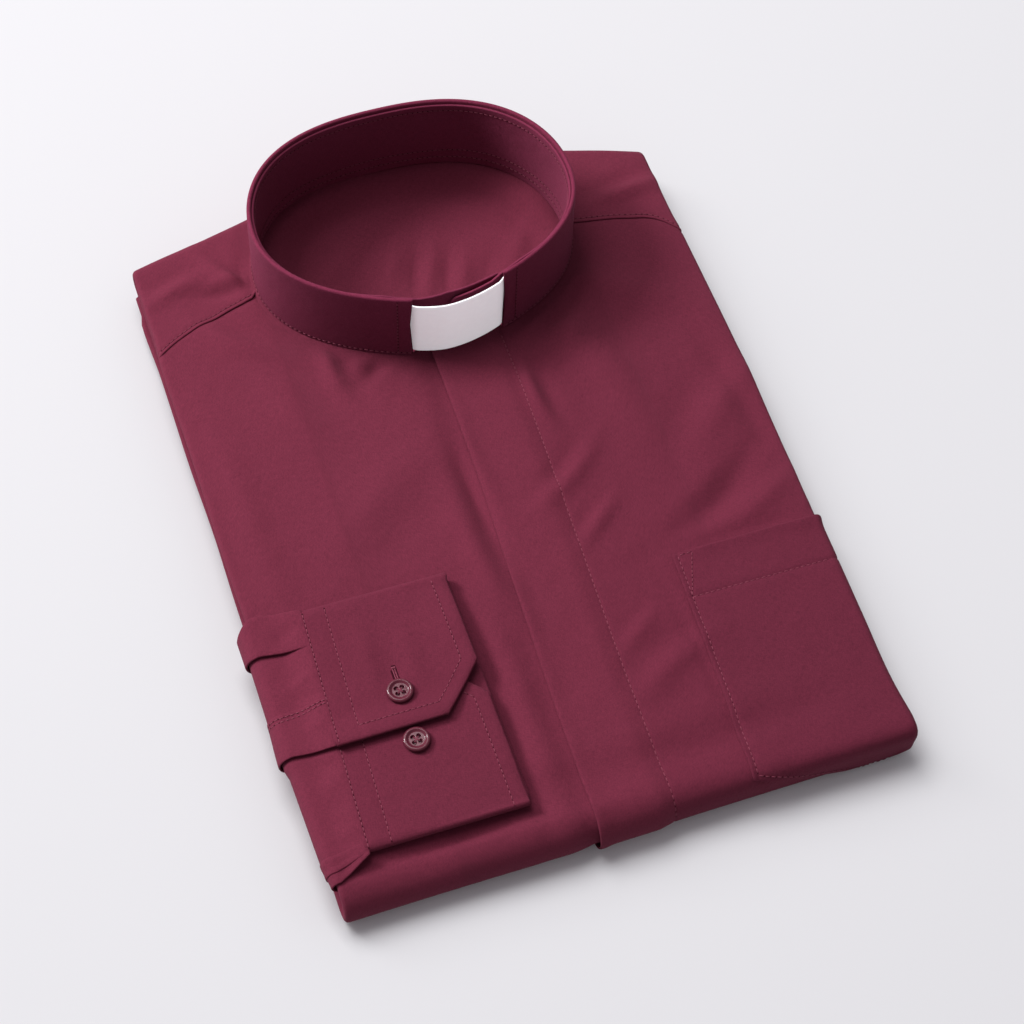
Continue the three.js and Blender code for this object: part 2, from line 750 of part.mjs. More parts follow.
// Cuff: flap, top fold, back layer, bottom fold and underlap, in one wall
function cuffPath() {
  const backZ = bodyHeight + seamGap;
  const underlapZ = backZ + 2 * cuffThickness + seamGap;
  const flapZ = underlapZ + cuffThickness + seamGap;
  const topRadius = (flapZ - backZ) / 2;
  const bottomRadius = (underlapZ - backZ) / 2;
  const topY = cuffTopY - topRadius;
  const bottomY = cuffBottomY + bottomRadius;
  const turns = 5;
  const path = [];
  for (const y of [flapEndY, -102, flapPuffStartY, -85, -66, topY]) {
    const puff = flapPuff * THREE.MathUtils.clamp((flapPuffStartY - y) / flapPuffLength, 0, 1);
    const cut = Math.max(0, (flapEndY + cuffMitre.along - y) / cuffMitre.along);
    path.push({ y, z: flapZ + puff, ny: 0, nz: 1, right: cuffOuterX - cut * cuffMitre.across });
  }
  for (let i = 1; i <= turns; i += 1) {
    const turn = (Math.PI * i) / turns;
    const ny = Math.sin(turn);
    const nz = Math.cos(turn);
    const y = topY + topRadius * ny;
    const z = backZ + topRadius * (1 + nz);
    path.push({ y, z, ny, nz, right: cuffOuterX + cuffBackReach });
  }
  path.push({ y: -100, z: backZ, ny: 0, nz: -1, right: cuffOuterX + cuffBackReach });
  for (let i = 0; i <= turns; i += 1) {
    const turn = (Math.PI * i) / turns;
    const ny = -Math.sin(turn);
    const nz = -Math.cos(turn);
    const y = bottomY + bottomRadius * ny;
    const z = backZ + bottomRadius * (1 + nz);
    path.push({ y, z, ny, nz, right: cuffOuterX });
  }
  for (const y of [-125, underlapEndY - cuffMitre.along, underlapEndY]) {
    const cut = Math.max(0, (y - underlapEndY + cuffMitre.along) / cuffMitre.along);
    path.push({ y, z: underlapZ, ny: 0, nz: 1, right: cuffOuterX - cut * cuffMitre.across });
  }
  return { path, underlapZ, flapZ };
}

const cuff = cuffPath();

function cuffGrid(depth) {
  const shares = [0, 0.3, 0.65, 1];
  return cuff.path.map(({ y, z, ny, nz, right }) => shares.map((share) => {
    const x = THREE.MathUtils.lerp(cuffSeamX(y) + seamGap / 2, right, share);
    return new THREE.Vector3(x, y - ny * depth, z - nz * depth);
  }));
}

addMesh('cuff', wallBetween(cuffGrid(0), cuffGrid(cuffThickness)), cloth);

// Four-hole buttons with a raised rim
function toManifold(geometry) {
  const bare = geometry.clone();
  bare.deleteAttribute('normal');
  bare.deleteAttribute('uv');
  const merged = mergeVertices(bare, 1e-5);
  return new wasm.Manifold(new wasm.Mesh({
    numProp: 3,
    vertProperties: new Float32Array(merged.attributes.position.array),
    triVerts: new Uint32Array(merged.index.array),
  }));
}

function toGeometry(solid) {
  const mesh = solid.getMesh();
  const geometry = new THREE.BufferGeometry();
  geometry.setAttribute('position', new THREE.BufferAttribute(mesh.vertProperties, 3));
  geometry.setIndex(new THREE.BufferAttribute(mesh.triVerts, 1));
  geometry.computeVertexNormals();
  return geometry;
}

const buttonProfile = [
  { radius: 0, height: 0 },
  { radius: 3.7, height: 0 },
  { radius: 4.8, height: 0.4 },
  { radius: buttonRadius, height: 1.1 },
  { radius: 5, height: 1.9 },
  { radius: 4.5, height: buttonHeight },
  { radius: 4, height: buttonHeight },
  { radius: 3.4, height: 1.75 },
  { radius: 0, height: 1.6 },
];

function buttonGeometry() {
  const profile = buttonProfile.map(({ radius, height }) => new THREE.Vector2(radius, height));
  const boreLength = 3 * buttonHeight;
  let solid = toManifold(new THREE.LatheGeometry(profile, 28));
  for (const across of [-1, 1]) {
    for (const along of [-1, 1]) {
      const hole = new THREE.CylinderGeometry(buttonHoleRadius, buttonHoleRadius, boreLength, 10);
      hole.translate(across * buttonHoleSpread, 0, along * buttonHoleSpread);
      solid = solid.subtract(toManifold(hole));
    }
  }
  const geometry = toGeometry(solid);
  geometry.rotateX(Math.PI / 2);
  return geometry;
}

const button = buttonGeometry();
for (const { name, y, z } of [
  { name: 'button_upper', y: upperButtonY, z: cuff.flapZ + seamGap },
  { name: 'button_lower', y: lowerButtonY, z: cuff.underlapZ + seamGap },
]) {
  const mesh = addMesh(name, button.clone(), buttonPlastic);
  mesh.position.set(buttonX, y, z);
}

// Hidden back, side folds, tails and far sleeve: one stack with layered edges
const stackStations = [
  { y: -168.2, turn: 70, kind: 'tucked', inset: 6, share: 0 },
  { y: -166.7, turn: 45, kind: 'tucked', inset: 4, share: 0 },
  { y: -164, turn: 18, kind: 'tucked', inset: 2, share: 0 },
  { y: -162, turn: 0, kind: 'tucked', inset: 1, share: 0 },
  { y: -150, turn: 0, kind: 'tucked', inset: 0, share: 0 },
  { y: -30, turn: 0, kind: 'tucked', inset: 0, share: 0 },
  { y: -26, turn: 0, kind: 'plain', inset: 0, share: 0 },
  { y: 58, turn: 0, kind: 'plain', inset: 0, share: 0 },
  { y: 65, turn: 0, kind: 'neck', inset: 0, share: 1 },
  { y: 85, turn: 0, kind: 'neck', inset: 0, share: 1 },
  { y: 105, turn: 0, kind: 'neck', inset: 0, share: 1 },
  { y: 132, turn: 0, kind: 'neck', inset: 0, share: 1 },
  { y: 152, turn: 0, kind: 'neck', inset: 0, share: 1 },
  { y: 161, turn: 10, kind: 'neck', inset: 5, share: 1 },
  { y: 166, turn: 40, kind: 'neck', inset: 8, share: 1 },
  { y: 168, turn: 65, kind: 'neck', inset: 10, share: 1 },
];
const stackAcross = [-75, -45, -15, 15, 45, 75];

const neckStackMiddleZ = 7;

function stackRing(station) {
  const squash = Math.cos(THREE.MathUtils.degToRad(station.turn));
  const middle = station.kind === 'neck' ? neckStackMiddleZ : hemFoldRadius;
  const height = (z) => middle + (z - middle) * squash;
  const side = (row, edge, outward, kind) => {
    const reach = row[kind] + (row[kind] > -9 ? -station.inset : 0);
    const z = station.kind === 'neck' ? row.neckZ : row.z;
    return new THREE.Vector3(edge + outward * reach, station.y, height(z));
  };
  const left = taperAt(leftEdgeX, -station.y) + leftEdgeX;
  const right = taperAt(rightEdgeX, -station.y) + rightEdgeX;
  const rightKind = station.kind === 'tucked' && station.turn === 0 ? 'plain' : station.kind;
  const top = stackEdge[stackEdge.length - 1];
  const topZ = station.kind === 'neck' ? top.neckZ : top.z;
  const across = stackAcross.map((x) => {
    const dip = station.share * neckDip(x, station.y);
    return new THREE.Vector3(x, station.y, height(topZ - dip));
  });
  return [
    ...stackEdge.map((row) => side(row, right, 1, rightKind)),
    ...across.reverse(),
    ...[...stackEdge].reverse().map((row) => side(row, left, -1, station.kind)),
  ];
}

function stackSolid() {
  const rings = stackStations.map(stackRing);
  const size = rings[0].length;
  const positions = rings.flat();
  const faces = [];
  for (let r = 0; r < rings.length - 1; r += 1) {
    for (let i = 0; i < size; i += 1) {
      const next = (i + 1) % size;
      const a = r * size + i;
      const b = r * size + next;
      const c = a + size;
      const d = b + size;
      faces.push(a, b, d, a, d, c);
    }
  }
  const endFaces = (ring) => {
    const outline = ring.map((point) => new THREE.Vector2(point.x, point.z));
    return THREE.ShapeUtils.triangulateShape(outline, []);
  };
  const lastStart = (rings.length - 1) * size;
  for (const [a, b, c] of endFaces(rings[0])) faces.push(a, c, b);
  for (const [a, b, c] of endFaces(rings.at(-1))) {
    faces.push(lastStart + a, lastStart + b, lastStart + c);
  }
  return solidFrom(positions, faces);
}

addMesh('folded_layers', stackSolid(), cloth);

// The shirt stands on the middle of its own footprint
const bounds = new THREE.Box3().setFromObject(shirt);
const footprint = bounds.getCenter(new THREE.Vector3());
shirt.position.set(-footprint.x, -footprint.y, -bounds.min.z);

export default shirt;
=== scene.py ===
import math

import bpy
import numpy as np
from mathutils import Matrix, Vector


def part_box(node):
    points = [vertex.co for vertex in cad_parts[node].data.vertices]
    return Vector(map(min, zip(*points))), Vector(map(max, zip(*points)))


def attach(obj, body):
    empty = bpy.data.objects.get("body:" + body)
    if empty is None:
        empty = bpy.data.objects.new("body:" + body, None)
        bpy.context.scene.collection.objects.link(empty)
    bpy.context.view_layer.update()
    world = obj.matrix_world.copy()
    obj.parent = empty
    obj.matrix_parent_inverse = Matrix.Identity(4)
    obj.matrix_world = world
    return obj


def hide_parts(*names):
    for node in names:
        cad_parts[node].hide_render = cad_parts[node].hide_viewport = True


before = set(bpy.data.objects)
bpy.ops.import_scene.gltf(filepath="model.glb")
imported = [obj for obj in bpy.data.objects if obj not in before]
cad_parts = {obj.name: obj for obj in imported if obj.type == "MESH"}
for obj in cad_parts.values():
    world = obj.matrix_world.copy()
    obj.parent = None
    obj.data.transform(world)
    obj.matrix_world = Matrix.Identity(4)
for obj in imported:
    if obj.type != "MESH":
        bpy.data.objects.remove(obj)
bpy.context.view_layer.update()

mm = 0.001

# Lengths below are millimetres in the shirt's own layout; the frame's box gives where that lies
buttonLow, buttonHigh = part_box("button_upper")
layoutShift = (
    (buttonLow[0] + buttonHigh[0]) / 2 / mm + 77,
    (buttonLow[1] + buttonHigh[1]) / 2 / mm + 90,
)

body = {
    "height": 22.0,
    "hemFoldY": -162.0,
    "underLegEndY": 158.0,
    "leftX": -128.5,
    "rightX": 127.0,
    "sideRadius": 1.9,
    "sideReturn": 5.5,
    "cloth": 0.7,
    "flyLift": 1.5,
    "flyDrift": -8.5,
}
hemRadius = body["height"] / 2
hemStart = -body["hemFoldY"]
hemEnd = hemStart + math.pi * hemRadius

# Side edges come in a little along the shirt: (y, left, right)
sideTaper = [
    (-175, 2.2, 1.2), (-162, 2.1, 2.4), (-148, 1.7, 3.6), (-110, 0.9, 3.1), (-20, 0, 1.2),
    (60, 0, 0.2), (150, 0.5, 1.2), (175, 2.0, 2.4),
]

# Front shoulder seam and folded shoulder edge: (x, y)
shoulderSeam = [
    (-128.5, 115), (-119, 121), (-98, 129), (-73, 136), (80, 133), (104, 128), (120, 121), (127, 113),
]
shoulderEdge = [
    (-128.5, 169.5), (-113, 173.5), (-95, 177.5), (-69, 184), (-40, 193), (0, 197),
    (40, 193.3), (69, 186.7), (91, 179.6), (108, 174.2), (127, 167),
]

# Main creases: x, y, turn in degrees, half length, half width, height, bend
creases = [
    (28, 44, -87, 17, 3.6, 0.95, 0.05),
    (31, -4, 38, 20, 4.2, 0.7, 0.1),
    (33, -31, 42, 12, 3.4, 0.6, 0.0),
    (38, -109, 27, 22, 5.5, 0.6, -0.1),
    (31, -89, 36, 11, 3.6, 0.4, 0.0),
    (92, -33, 35, 30, 6.0, -0.75, 0.12),
    (104, -43, 24, 22, 5.0, 0.55, 0.1),
    (104, 9, 46, 30, 8.0, 0.7, -0.1),
    (-56, 84, -88, 16, 4.2, 0.9, 0.1),
    (-35, 80, 42, 11, 4.0, -0.8, 0.0),
    (-92, 110, -42, 22, 4.6, 0.9, 0.1),
    (-84, 145, -56, 18, 3.6, 1.1, 0.05),
    (-90, 142, -9, 12, 3.4, -0.8, 0.0),
    (-15, 0, -86, 26, 4.0, -0.7, 0.0),
    (-23, -32, -83, 30, 5.0, 0.6, 0.05),
    (-57, 10, -140, 32, 11.0, 0.55, 0.1),
    (-78, 66, -70, 24, 9.0, 0.5, 0.1),
    (60, 60, 118, 30, 10.0, 0.7, 0.1),
    (84, 92, 150, 30, 9.0, 0.7, 0.05),
    (70, 20, 100, 40, 13.0, 0.4, 0.08),
    (-77, 151, 81, 12, 3.6, -0.6, 0.0),
    (48, 80, 42, 12, 3.8, -0.7, 0.0),
    (57, 73, 50, 14, 5.0, 0.6, 0.05),
    (66, 93, 52, 9, 3.4, -0.6, 0.0),
    (-78, -159, 182, 38, 4.5, -0.9, 0.0),
    (-37, -106, -90, 44, 5.0, -0.8, 0.0),
    (90, -54.6, 1, 36, 2.4, -0.2, 0.0),
    (51, -112, -87, 48, 2.0, -0.16, 0.0),
    (110, 144, 8, 16, 4.0, 0.9, 0.0),
    (-112, 150, 20, 14, 4.0, 0.6, 0.0),
    (-60, -150, 1, 60, 8.0, -0.5, 0.0),
    (44, -148, 3, 40, 7.0, -0.45, 0.0),
    (116, 14, -84, 36, 5.0, -0.4, 0.0),
    (-112, 20, 92, 50, 7.0, 0.45, 0.02),
]
creaseStrength = 2.9  # multiplies every height above


def soften(t):
    t = np.clip(t, 0, 1)
    return t * t * (3 - 2 * t)


# Reads a short table along a smooth curve through its rows
def readCurve(rows, at, column=1):
    xs = np.array([row[0] for row in rows], float)
    ys = np.array([row[column] for row in rows], float)
    slopes = np.gradient(ys, xs)
    i = np.clip(np.searchsorted(xs, at) - 1, 0, len(xs) - 2)
    span = xs[i + 1] - xs[i]
    t = np.clip((at - xs[i]) / span, 0, 1)
    start = (1 + 2 * t) * (1 - t) ** 2 * ys[i] + t * (1 - t) ** 2 * span * slopes[i]
    return start + t * t * (3 - 2 * t) * ys[i + 1] + t * t * (t - 1) * span * slopes[i + 1]


# Slow, even unevenness of cloth, with no randomness in it
def waver(x, y, size, seed):
    a = np.sin(x / size + seed * 1.7 + 0.7 * np.sin(y / size * 0.8 + seed))
    b = np.cos(y / size * 0.9 + seed * 2.3 + 0.6 * np.sin(x / size * 0.7 - seed))
    c = np.sin((x + y) / size * 0.61 + seed * 3.1)
    return (a * b + 0.5 * c) / 1.5


def readRows(rows, at, column=1):
    return np.interp(at, [row[0] for row in rows], [row[column] for row in rows])


# Where a point lies along and across a crease at cx, cy
def creaseAxes(x, y, cx, cy, turn):
    angle = math.radians(turn)
    along = (x - cx) * math.cos(angle) + (y - cy) * math.sin(angle)
    across = (y - cy) * math.cos(angle) - (x - cx) * math.sin(angle)
    return along, across


# Each crease is a ridge with a shallow furrow beside it
def creaseHeight(x, y):
    total = 0.0 * (x + y)
    for cx, cy, turn, length, width, height, bend in creases:
        along, across = creaseAxes(x, y, cx, cy, turn)
        across = across - bend * along * along / length
        ridge = np.exp(-(across / width) ** 2) - 0.35 * np.exp(-((across - 1.9 * width) / width) ** 2)
        total = total + height * np.exp(-(along / length) ** 2) * ridge
    return total * creaseStrength


# Adds plain ridges to a height: x, y, turn, half length, half width, height
def addRidges(total, x, y, rows):
    for cx, cy, turn, length, width, height in rows:
        along, across = creaseAxes(x, y, cx, cy, turn)
        total = total + height * np.exp(-(along / length) ** 2 - (across / width) ** 2)
    return total


# Collar

collar = {
    "centre": (0.4, 138.0),
    "halfWidth": 76.0,
    "backDepth": 57.6,
    "frontDepth": 60.7,
    "twist": -3.2,
    "backTwist": 2.6,
    "bottom": 20.5,
    "height": 41.7,
    "gapLeftX": -17.4,
    "gapRightX": 26.4,
    "leftSeam": 185.0,
    "rightSeam": 360.0,
}
collarTop = collar["bottom"] + collar["height"]


def planPoint(angle):
    turn = np.radians(angle)
    back = np.sin(turn) > 0
    depth = np.where(back, collar["backDepth"], collar["frontDepth"])
    power = 2.1 + np.where(back, 0.3, 0.4) * np.sin(turn)
    across = np.abs(np.cos(turn)) / collar["halfWidth"]
    along = np.abs(np.sin(turn)) / depth
    radius = (across ** power + along ** power) ** (-1 / power)
    twisted = turn + np.radians(collar["twist"] + collar["backTwist"] * np.maximum(np.sin(turn), 0) ** 2)
    return collar["centre"][0] + radius * np.cos(twisted), collar["centre"][1] + radius * np.sin(twisted)


def collarPlan(angle, outset=0.0):
    angle = np.asarray(angle, float)
    small = 0.1
    ax, ay = planPoint(angle - small)
    bx, by = planPoint(angle + small)
    length = np.hypot(bx - ax, by - ay)
    x, y = planPoint(angle)
    return x + (by - ay) / length * outset, y - (bx - ax) / length * outset


def collarAngle(x, y):
    return np.degrees(np.arctan2(y - collar["centre"][1], x - collar["centre"][0]))


# How far a point of the shirt lies outside the collar's wall
def outsideCollar(x, y):
    centreX, centreY = collar["centre"]
    edgeX, edgeY = planPoint(collarAngle(x, y) - collar["twist"])
    return np.hypot(x - centreX, y - centreY) - np.hypot(edgeX - centreX, edgeY - centreY)


# Creases and calm unevenness of the cloth, held flat where the collar is sewn on
def clothRise(x, y):
    calm = 0.16 * waver(x, y, 17, 1) + 0.22 * waver(x, y, 38, 2)
    return (creaseHeight(x, y) + calm) * soften(outsideCollar(x, y) / 9)


frontAngles = np.linspace(186, 354, 1500)
frontAngleX = planPoint(frontAngles)[0]


def frontAngleAt(x):
    return np.interp(x, frontAngleX, frontAngles)


# The body's surface; s runs from the shoulders over the hem fold and under, and is -y on the top

# The hem fold isn't square: it leans forward at the left and draws back at the right: (x, y shift)
hemLean = [(-128, -1.6), (-40, -0.6), (30, 0.6), (90, 2.2), (127, 3.4)]


def flyShare(s):
    return 1 - np.clip((s - (hemStart + hemEnd) / 2) / ((hemEnd - hemStart) / 2), 0, 1)


def bodySurface(x, s, depth):
    x, s, depth = np.broadcast_arrays(x, s, depth)
    y = np.maximum(-s, body["hemFoldY"])
    turn = np.clip((s - hemStart) / hemRadius, 0, math.pi)
    rise = clothRise(x, y) * (1 - turn / math.pi) ** 1.5
    roll = 0.35 * np.sin(turn) * waver(x, 0 * x, 26, 5)
    depth = depth - rise - roll
    radius = hemRadius - depth
    lean = readCurve(hemLean, x) * soften(turn / 1.9)
    power = 2 + 1.5 * soften((x - 10) / 110)
    square = (np.abs(np.sin(turn)) ** power + np.abs(np.cos(turn)) ** power) ** (-1 / power)
    radius = radius * square
    top = np.stack([x, -s, body["height"] - depth], -1)
    under = np.stack([x, body["hemFoldY"] + s - hemEnd + lean, depth], -1)
    bendY = body["hemFoldY"] - radius * np.sin(turn) + lean
    bend = np.stack([x, bendY, hemRadius + radius * np.cos(turn)], -1)
    onTop = (s <= hemStart)[..., None]
    below = (s >= hemEnd)[..., None]
    return np.where(onTop, top, np.where(below, under, bend))


# How far the right side edge comes in
def rightTaper(x, y):
    inward = readCurve(sideTaper, y, 2) + 0.35 * waver(y, 0 * y, 22, 4)
    return soften((x - body["rightX"] + 45) / 45) * inward


def panelShift(x, s):
    y = np.maximum(-s, body["hemFoldY"])
    share = soften((80 + s) / 250)
    drift = body["flyDrift"] * share * soften((x + 70) / 50) * (1 - soften((x - 30) / 70))
    inward = readCurve(sideTaper, y, 1) + 0.35 * waver(y, 0 * y, 19, 3)
    left = (1 - soften((x - body["leftX"]) / 45)) * inward
    return drift + left - rightTaper(x, y)


def flatColumns(xs):
    xs = np.asarray(xs, float)
    return {"x": xs, "depth": 0 * xs, "inX": 0 * xs, "inDepth": 0 * xs + 1}


# Columns that roll round a side edge and run back in below
def sideFoldColumns(edge, inward, lastTurn, returnLength):
    turn = np.radians(np.linspace(0, lastTurn, 9))
    radius = body["sideRadius"]
    x = edge + inward * radius * (1 - np.sin(turn))
    depth = radius * (1 - np.cos(turn))
    inX = inward * np.sin(turn)
    columns = {"x": x, "depth": depth, "inX": inX, "inDepth": np.cos(turn)}
    if not returnLength:
        return columns
    back = np.linspace(0, returnLength, 4)[1:]
    below = {
        "x": edge + inward * (radius + back), "depth": 0 * back + 2 * radius,
        "inX": 0 * back, "inDepth": 0 * back - 1,
    }
    return joinColumns(columns, below)


def joinColumns(*parts):
    return {key: np.concatenate([part[key] for part in parts]) for key in parts[0]}


def columnPoints(columns, s, lift):
    x = columns["x"][None, :] + panelShift(columns["x"][None, :], s) - columns["inX"][None, :] * lift
    return bodySurface(x, s, columns["depth"][None, :] - columns["inDepth"][None, :] * lift)


def linkObject(name, data):
    made = bpy.data.objects.new(name, data)
    bpy.context.scene.collection.objects.link(made)
    return made


# Points come in the shirt's layout; uv is in millimetres of cloth
def meshObject(name, vertices, faces, uvs=None):
    mesh = bpy.data.meshes.new(name)
    placed = np.array(vertices, float)
    placed[:, :2] += layoutShift
    mesh.from_pydata((placed * mm).tolist(), [], [tuple(int(i) for i in face) for face in faces])
    if uvs is not None:
        layer = mesh.uv_layers.new(name="cloth")
        index = np.empty(len(mesh.loops), dtype=np.int32)
        mesh.loops.foreach_get("vertex_index", index)
        layer.data.foreach_set("uv", (np.asarray(uvs) * mm)[index].astype(np.float32).ravel())
    mesh.polygons.foreach_set("use_smooth", np.ones(len(mesh.polygons), dtype=bool))
    mesh.update()
    return linkObject(name, mesh)


# Walls between rings of points, and the two ends
def ringFaces(rings, loop):
    faces = []
    for k in range(rings - 1):
        for i in range(loop):
            j = (i + 1) % loop
            faces.append((k * loop + i, k * loop + j, (k + 1) * loop + j, (k + 1) * loop + i))
    faces.append(tuple(range(loop))[::-1])
    faces.append(tuple((rings - 1) * loop + i for i in range(loop)))
    return faces


def gridNormals(grid):
    du = np.gradient(grid, axis=1)
    dv = np.gradient(grid, axis=0)
    normal = np.cross(du, dv)
    length = np.linalg.norm(normal, axis=-1, keepdims=True)
    return normal / np.maximum(length, 1e-9)


def gridLengths(grid):
    middleRow = grid[grid.shape[0] // 2]
    across = np.concatenate([[0], np.cumsum(np.linalg.norm(np.diff(middleRow, axis=0), axis=1))])
    down = np.cumsum(np.linalg.norm(np.diff(grid, axis=0), axis=2), axis=0)
    down = np.concatenate([np.zeros((1, grid.shape[1])), down])
    return np.repeat(across[None, :], grid.shape[0], 0), down


rimSteps = 3


# Turns a grid of points into a sheet of cloth with a rounded rim, and notes its flat size
def clothSheet(name, grid, thickness, flip=False):
    normals = gridNormals(grid) * (-1 if flip else 1)
    inner = grid - normals * thickness
    rows, cols = grid.shape[:2]
    u, v = gridLengths(grid)
    ids = np.arange(rows * cols).reshape(rows, cols)
    loop = np.concatenate([ids[0, :-1], ids[:-1, -1], ids[-1, :0:-1], ids[:0:-1, 0]])
    r, c = np.divmod(loop, cols)
    inR = np.clip(r, 1, rows - 2)
    inC = np.clip(c, 1, cols - 2)
    outward = grid[r, c] - grid[inR, inC]
    outward -= normals[r, c] * np.sum(outward * normals[r, c], -1, keepdims=True)
    outward /= np.maximum(np.linalg.norm(outward, axis=-1, keepdims=True), 1e-9)
    vertices = [grid.reshape(-1, 3), inner.reshape(-1, 3)]
    uvs = [np.stack([u, v], -1).reshape(-1, 2)] * 2
    rings = [loop]
    count = 2 * rows * cols
    for k in range(1, rimSteps + 1):
        angle = math.pi * k / (rimSteps + 1)
        share = (1 - math.cos(angle)) / 2
        ring = grid[r, c] * (1 - share) + inner[r, c] * share
        vertices.append(ring + outward * (thickness / 2) * math.sin(angle))
        uvs.append(np.stack([u[r, c], v[r, c]], -1))
        rings.append(np.arange(count, count + len(loop)))
        count += len(loop)
    rings.append(loop + rows * cols)
    a, b, c2, d = ids[:-1, :-1], ids[:-1, 1:], ids[1:, 1:], ids[1:, :-1]
    outer = np.stack([a, b, c2, d], -1).reshape(-1, 4)
    back = np.stack([a, d, c2, b], -1).reshape(-1, 4) + rows * cols
    faces = [outer, back]
    for first, second in zip(rings[:-1], rings[1:]):
        faces.append(np.stack([np.roll(first, -1), first, second, np.roll(second, -1)], -1))
    faces = np.concatenate(faces)
    if flip:
        faces = faces[:, ::-1]
    return meshObject(name, np.concatenate(vertices), faces, np.concatenate(uvs))


# Materials

def newMaterial(name, viewColour):
    material = bpy.data.materials.new(name)
    material.use_nodes = True
    material.diffuse_color = viewColour
    tree = material.node_tree
    return material, tree, tree.nodes["Principled BSDF"]


def setInputs(node, values):
    for key, value in values.items():
        node.inputs[key].default_value = value


def addNode(tree, kind, values=None, **settings):
    node = tree.nodes.new(kind)
    for key, value in settings.items():
        setattr(node, key, value)
    setInputs(node, values or {})
    return node


def join(source, output, target, socket):
    source.id_data.links.new(source.outputs[output], target.inputs[socket])


poplin = {
    "view": (0.43, 0.14, 0.215, 1),
    "dark": (0.082, 0.0100, 0.0232),
    "light": (0.146, 0.0188, 0.0408),
    "thread": {"Scale": 1189.908, "Distortion": 0.6, "Detail": 1.0, "Detail Scale": 0.6},  # 0.42 mm apart
    "yarn": {"Scale": 1.0, "Detail": 3.0, "Roughness": 0.6},
    "cloud": {"Scale": 14.0, "Detail": 4.0, "Roughness": 0.55},
    "softness": {"Scale": 75.0, "Detail": 3.0, "Roughness": 0.5},
    "yarnContrast": 1.5,
    "yarnOffset": -1.08,
    "cloudShare": 0.22,
    "threadShare": 0.16,
    "yarnHeight": 0.5,
    "surface": {
        "Roughness": 0.86,
        "Specular IOR Level": 0.12,
        "Sheen Weight": 0.05,
        "Sheen Roughness": 0.45,
        "Sheen Tint": (0.9, 0.35, 0.5, 1),
    },
}


# Plain-weave shirting: crossed threads, uneven yarn, soft colour change and a short nap
def poplinMaterial(name, shade=(1, 1, 1)):
    material, tree, surface = newMaterial(name, poplin["view"])
    place = addNode(tree, "ShaderNodeTexCoord")
    weave = addNode(tree, "ShaderNodeMath", operation="MAXIMUM")
    slub = addNode(tree, "ShaderNodeMath", operation="ADD")
    for slot, direction, stretch in ((0, "X", (3000, 420, 1)), (1, "Y", (420, 3000, 1))):
        thread = addNode(tree, "ShaderNodeTexWave", poplin["thread"], bands_direction=direction)
        drawn = addNode(tree, "ShaderNodeMapping", {"Scale": stretch})
        yarn = addNode(tree, "ShaderNodeTexNoise", poplin["yarn"])
        join(place, "UV", thread, "Vector")
        join(thread, "Fac", weave, slot)
        join(place, "UV", drawn, "Vector")
        join(drawn, "Vector", yarn, "Vector")
        join(yarn, "Fac", slub, slot)
    cloud = addNode(tree, "ShaderNodeTexNoise", poplin["cloud"])
    join(place, "Object", cloud, "Vector")
    contrast = {1: poplin["yarnContrast"], 2: poplin["yarnOffset"]}
    tone = addNode(tree, "ShaderNodeMath", contrast, operation="MULTIPLY_ADD")
    join(slub, 0, tone, 0)
    clouded = addNode(tree, "ShaderNodeMath", {1: poplin["cloudShare"]}, operation="MULTIPLY_ADD")
    join(cloud, "Fac", clouded, 0)
    join(tone, 0, clouded, 2)
    woven = addNode(tree, "ShaderNodeMath", {1: poplin["threadShare"]}, operation="MULTIPLY_ADD")
    join(weave, 0, woven, 0)
    join(clouded, 0, woven, 2)
    colour = addNode(tree, "ShaderNodeMix", data_type="RGBA")
    for key, tint in (("A", poplin["dark"]), ("B", poplin["light"])):
        colour.inputs[key].default_value = tuple(c * k for c, k in zip(tint, shade)) + (1,)
    join(woven, 0, colour, "Factor")
    join(colour, "Result", surface, "Base Color")
    height = addNode(tree, "ShaderNodeMath", {1: poplin["yarnHeight"]}, operation="MULTIPLY_ADD")
    join(slub, 0, height, 0)
    join(weave, 0, height, 2)
    bump = addNode(tree, "ShaderNodeBump", {"Strength": 0.7, "Distance": 0.0001})
    join(height, 0, bump, "Height")
    softness = addNode(tree, "ShaderNodeTexNoise", poplin["softness"])
    join(place, "Object", softness, "Vector")
    softBump = addNode(tree, "ShaderNodeBump", {"Strength": 0.6, "Distance": 0.0012})
    join(softness, "Fac", softBump, "Height")
    join(bump, "Normal", softBump, "Normal")
    join(softBump, "Normal", surface, "Normal")
    setInputs(surface, poplin["surface"])
    return material


threadLook = {
    "view": (0.45, 0.15, 0.22, 1),
    "noise": {"Scale": 1400.0, "Detail": 2.0},
    "dark": (0.12, 0.019, 0.036, 1),
    "light": (0.22, 0.042, 0.074, 1),
    "surface": {"Roughness": 0.6, "Specular IOR Level": 0.2},
}
# Near-black burgundy for the small domes at the stitch ends: painted shade of the needle holes
needleHoleShadeLook = {
    "view": (0.12, 0.03, 0.05, 1),
    "noise": {"Scale": 900.0, "Detail": 1.0},
    "dark": (0.022, 0.0025, 0.006, 1),
    "light": (0.06, 0.008, 0.017, 1),
    "surface": {"Roughness": 0.95, "Specular IOR Level": 0.05},
}
insertLook = {
    "view": (0.85, 0.83, 0.86, 1),
    "noise": {"Scale": 420.0, "Detail": 3.0},
    "dark": (0.83, 0.80, 0.84, 1),
    "light": (0.88, 0.86, 0.89, 1),
    "bump": {"Strength": 0.15, "Distance": 0.00004},
    "surface": {"Roughness": 0.42, "Subsurface Weight": 0.12, "Subsurface Radius": (0.004, 0.003, 0.003)},
}
